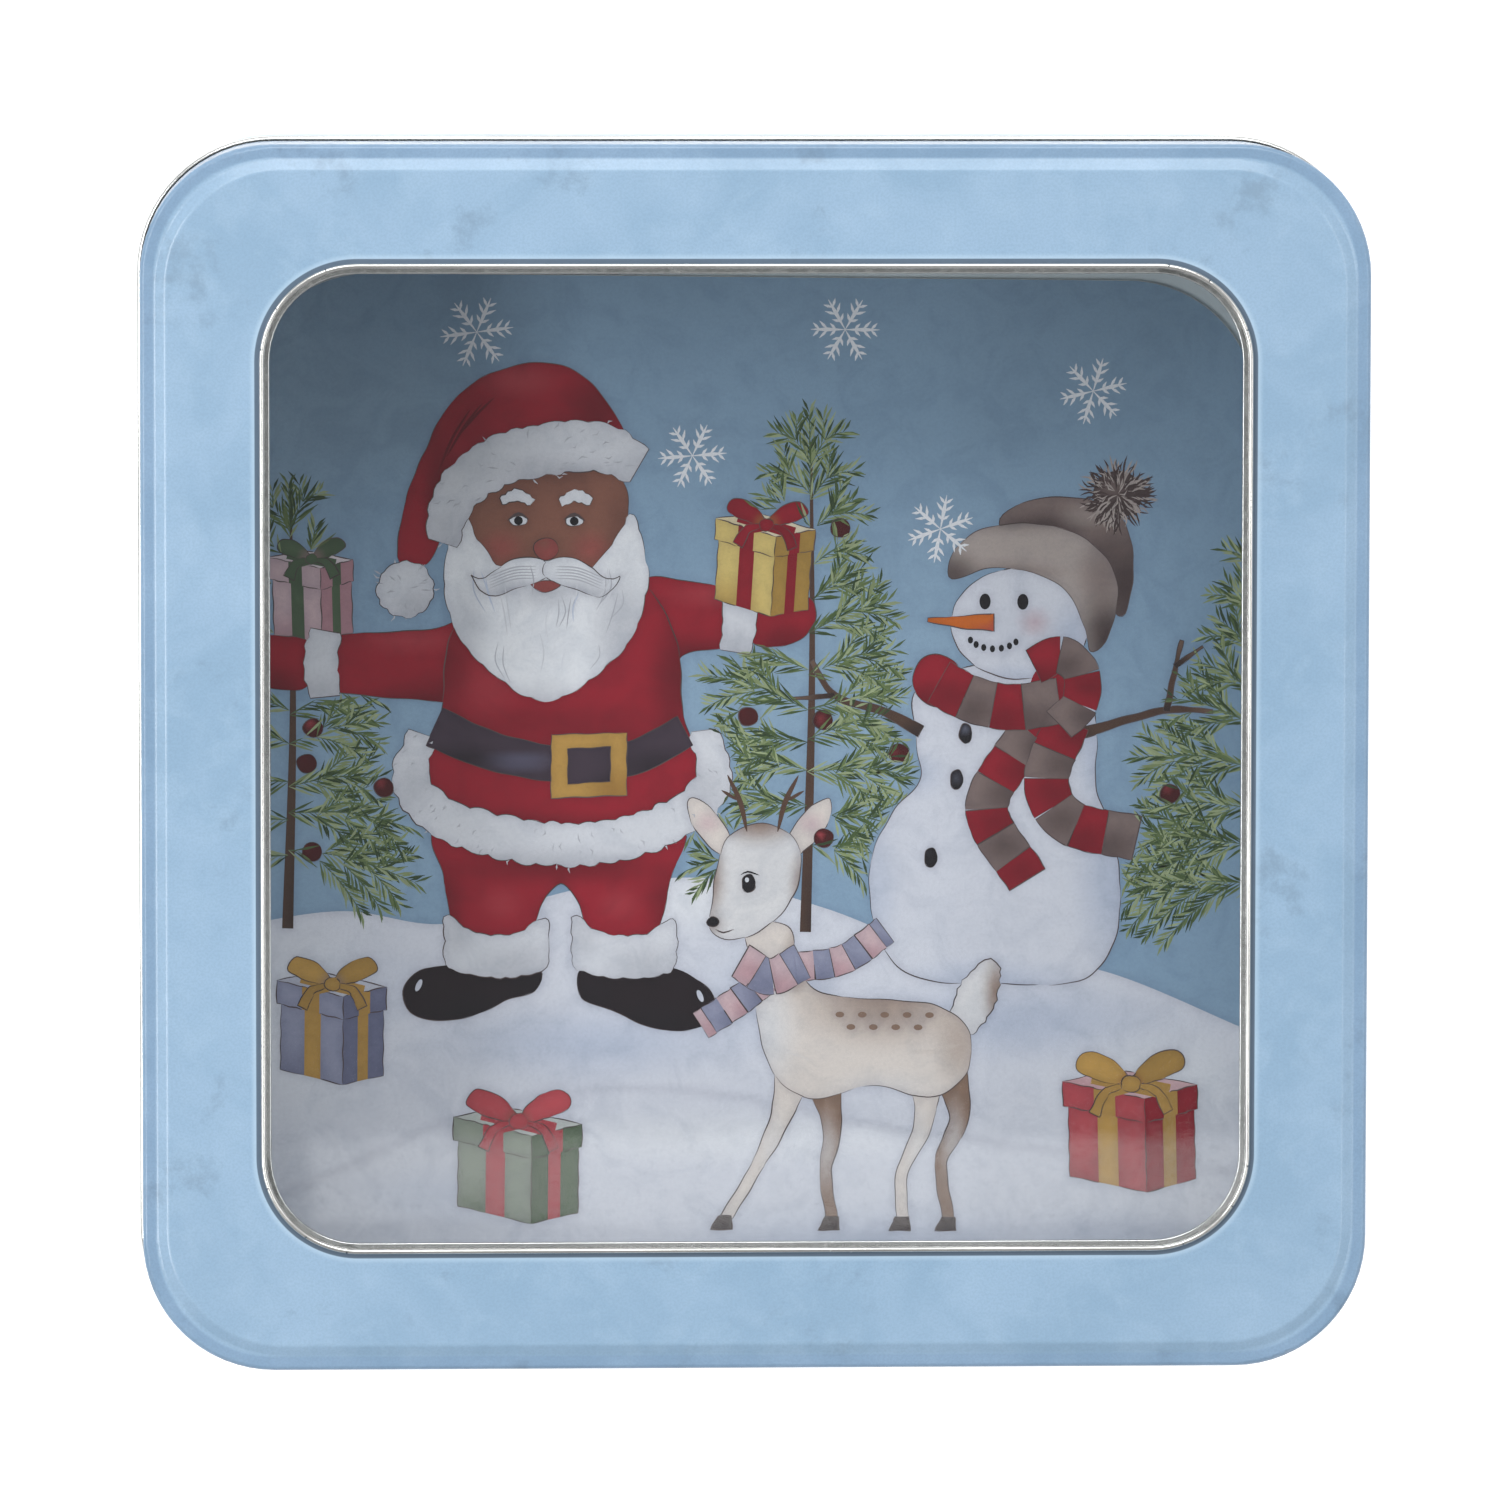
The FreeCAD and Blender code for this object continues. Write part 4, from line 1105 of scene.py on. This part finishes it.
def make_sheet(middle):
    points, triangles, owners = cut_areas()
    edges = edges_between(triangles, owners)
    tree = KDTree(len(edges))
    for k, (a, b) in enumerate(edges):
        tree.insert((*points[a].lerp(points[b], 0.5), 0.0), k)
    tree.balance()
    rims = [min(1.0, tree.find((*p, 0.0))[2] / RIM_REACH) for p in points]
    colours = [areas[owner].colour_at(*points[k]) for t, owner in zip(triangles, owners) for k in t]
    corners = [on_card(middle, p, SHEET_LIFT) for p in points]
    sheet = paint_mesh("winter_picture", corners, triangles, colours, rims)
    return sheet, points, edges


def make_strokes(middle):
    corners, faces, colours = [], [], []
    for count, (line, width, colour, level) in enumerate(strokes):
        start, last = len(corners), len(line) - 1
        lift = STROKE_LIFT + LEVEL_LIFT * level + STACK_LIFT * (count % STACK_COUNT)
        for k, point in enumerate(line):
            ahead = (line[min(k + 1, last)] - line[max(k - 1, 0)]).normalized()
            reach = 0.5 * width * (0.12 + 0.88 * abs(math.sin(math.pi * k / last)) ** 0.6)
            side = reach * Vector((-ahead.y, ahead.x))
            corners += [on_card(middle, point + side, lift), on_card(middle, point - side, lift)]
        for k in range(last):
            a = start + 2 * k
            faces.append((a, a + 1, a + 3, a + 2))
            colours += [colour] * 4
    return paint_mesh("picture_lines", corners, faces, colours)


def watercolour(name):
    """Paint in the mesh's colours, pooled towards the outlines and settled in the paper's grain."""
    material, nodes = new_material(name)
    where = nodes.place()
    paint_colour = nodes.add("ShaderNodeAttribute", attribute_name="Paint").outputs["Color"]
    rim = nodes.add("ShaderNodeAttribute", attribute_name="Rim").outputs["Fac"]
    pools = nodes.noise(where, 130.0, detail=6.0, roughness=0.6, distortion=1.2)
    grain = nodes.noise(where, 1900.0, detail=3.0, roughness=0.65)
    colour = nodes.mix(nodes.steps(pools, 0.4, 0.7, 0.0, 0.4), paint_colour, (0.7, 0.73, 0.78), "MULTIPLY")
    colour = nodes.mix(nodes.steps(grain, 0.44, 0.62, 0.0, 0.16), colour, (0.66, 0.66, 0.69), "MULTIPLY")
    colour = nodes.mix(nodes.steps(rim, 0.0, 1.0, 0.34, 0.0), colour, (0.55, 0.55, 0.62), "MULTIPLY")
    nodes.principled(colour, 0.7, nodes.bump(grain, 0.25, 0.00003), Specular_IOR_Level=0.15)
    return material


def line_paint(name):
    """The strokes: denser colour than the wash, broken a little by the paper's grain."""
    material, nodes = new_material(name)
    paint_colour = nodes.add("ShaderNodeAttribute", attribute_name="Paint").outputs["Color"]
    grain = nodes.noise(nodes.place(), 2600.0, detail=3.0, roughness=0.7)
    colour = nodes.mix(nodes.steps(grain, 0.42, 0.66, 0.0, 0.3), paint_colour, (0.72, 0.75, 0.8), "MULTIPLY")
    nodes.principled(colour, nodes.steps(grain, 0.3, 0.7, 0.6, 0.75), Specular_IOR_Level=0.15)
    return material


def make_picture():
    middle, half = card_place()
    paint_picture(rounded_square_outline(half - CARD_INSET, CARD_CORNER), half)
    sheet, points, edges = make_sheet(middle)
    pencil_lines(points, edges)
    lines = make_strokes(middle)
    sheet.data.materials.append(watercolour("winter_wash"))
    lines.data.materials.append(line_paint("winter_lines"))


# ---------------------------------------------------------------- stage

def aim(thing, target, roll=0.0):
    """Turns an object so that its -Z looks at the target, with +Y up the picture."""
    ahead = (Vector(target) - thing.location).normalized()
    right = ahead.cross(Vector((0.0, 1.0, 0.0))).normalized()
    up = right.cross(ahead)
    turned_right = math.cos(roll) * right + math.sin(roll) * up
    turned_up = math.cos(roll) * up - math.sin(roll) * right
    axes = Matrix((turned_right, turned_up, -ahead)).transposed()
    thing.rotation_euler = axes.to_euler()


def add_camera():
    data = bpy.data.cameras.new("camera")
    data.lens = CAMERA_LENS
    data.sensor_width = SENSOR
    data.clip_end = 20.0
    camera = add_object("camera", data)
    target = Vector((*CAMERA_AIM, LID_HIGH.z))
    camera.location = target + Vector((*CAMERA_SIDESTEP, CAMERA_DISTANCE))
    aim(camera, target, CAMERA_ROLL)
    bpy.context.scene.camera = camera


def softbox(name, place, target, width, depth, radiance):
    """A rectangular light whose surface has this radiance. The camera never sees it directly."""
    data = bpy.data.lights.new(name, "AREA")
    data.shape = "RECTANGLE"
    data.size = width
    data.size_y = depth
    data.energy = 4.0 * radiance * width * depth
    light = add_object(name, data)
    light.location = place
    aim(light, target)
    light.visible_camera = False


def add_lights():
    middle = (0.0, 0.0, 0.05)
    softbox("key", (0.0, 1.19, 1.47), middle, 1.3, 0.9, 3.9)
    softbox("left_strip", (-0.75, 0.0, 1.1), middle, 0.25, 1.0, 7.4)
    softbox("right_strip", (1.0, 0.0, 1.55), middle, 0.25, 1.2, 2.7)
    softbox("window_glint", (0.09, -0.311, 1.95), middle, 0.33, 0.03, 1.1)


def add_dome():
    world = bpy.data.worlds.new("dome")
    bpy.context.scene.world = world
    world.use_nodes = True
    nodes = Nodes(world.node_tree)
    direction = nodes.add("ShaderNodeTexCoord").outputs["Generated"]
    across, height = nodes.axis(direction, "Y"), nodes.axis(direction, "Z")
    rising = nodes.steps(height, 0.15, 0.7, DOME_HORIZON, DOME_BRIGHT)
    overhead = nodes.steps(height, 0.972, 0.987, 0.0, DOME_BRIGHT - DOME_TOP)
    near = nodes.steps(across, -0.6, -0.25, DOME_NEAR_DIM, 0.0)
    near = nodes.math("MULTIPLY", near, nodes.steps(height, 0.25, 0.5))
    strength = nodes.math("MULTIPLY", nodes.math("SUBTRACT", rising, overhead),
                          nodes.math("SUBTRACT", 1.0, near))
    sky = nodes.add("ShaderNodeBackground", {"Color": (1.0, 1.0, 1.0), "Strength": strength})
    nodes.add("ShaderNodeOutputWorld", {"Surface": sky})


def add_floor():
    half = FLOOR_SIZE / 2
    mesh = bpy.data.meshes.new("floor")
    corners = [(-half, -half, 0), (half, -half, 0), (half, half, 0), (-half, half, 0)]
    mesh.from_pydata(corners, [], [(0, 1, 2, 3)])
    floor = add_object("floor", mesh)
    material, nodes = new_material("floor_paper")
    paper = nodes.add("ShaderNodeBsdfDiffuse", {"Color": (0.9, 0.9, 0.9)})
    glow = nodes.add("ShaderNodeEmission", {"Color": (1.0, 1.0, 1.0), "Strength": FLOOR_GLOW})
    nodes.surface(nodes.add("ShaderNodeAddShader", {0: paper, 1: glow}).outputs[0])
    mesh.materials.append(material)


dress_cad_parts()
make_picture()
add_camera()
add_lights()
add_dome()
add_floor()
bpy.context.scene.view_settings.view_transform = "Standard"
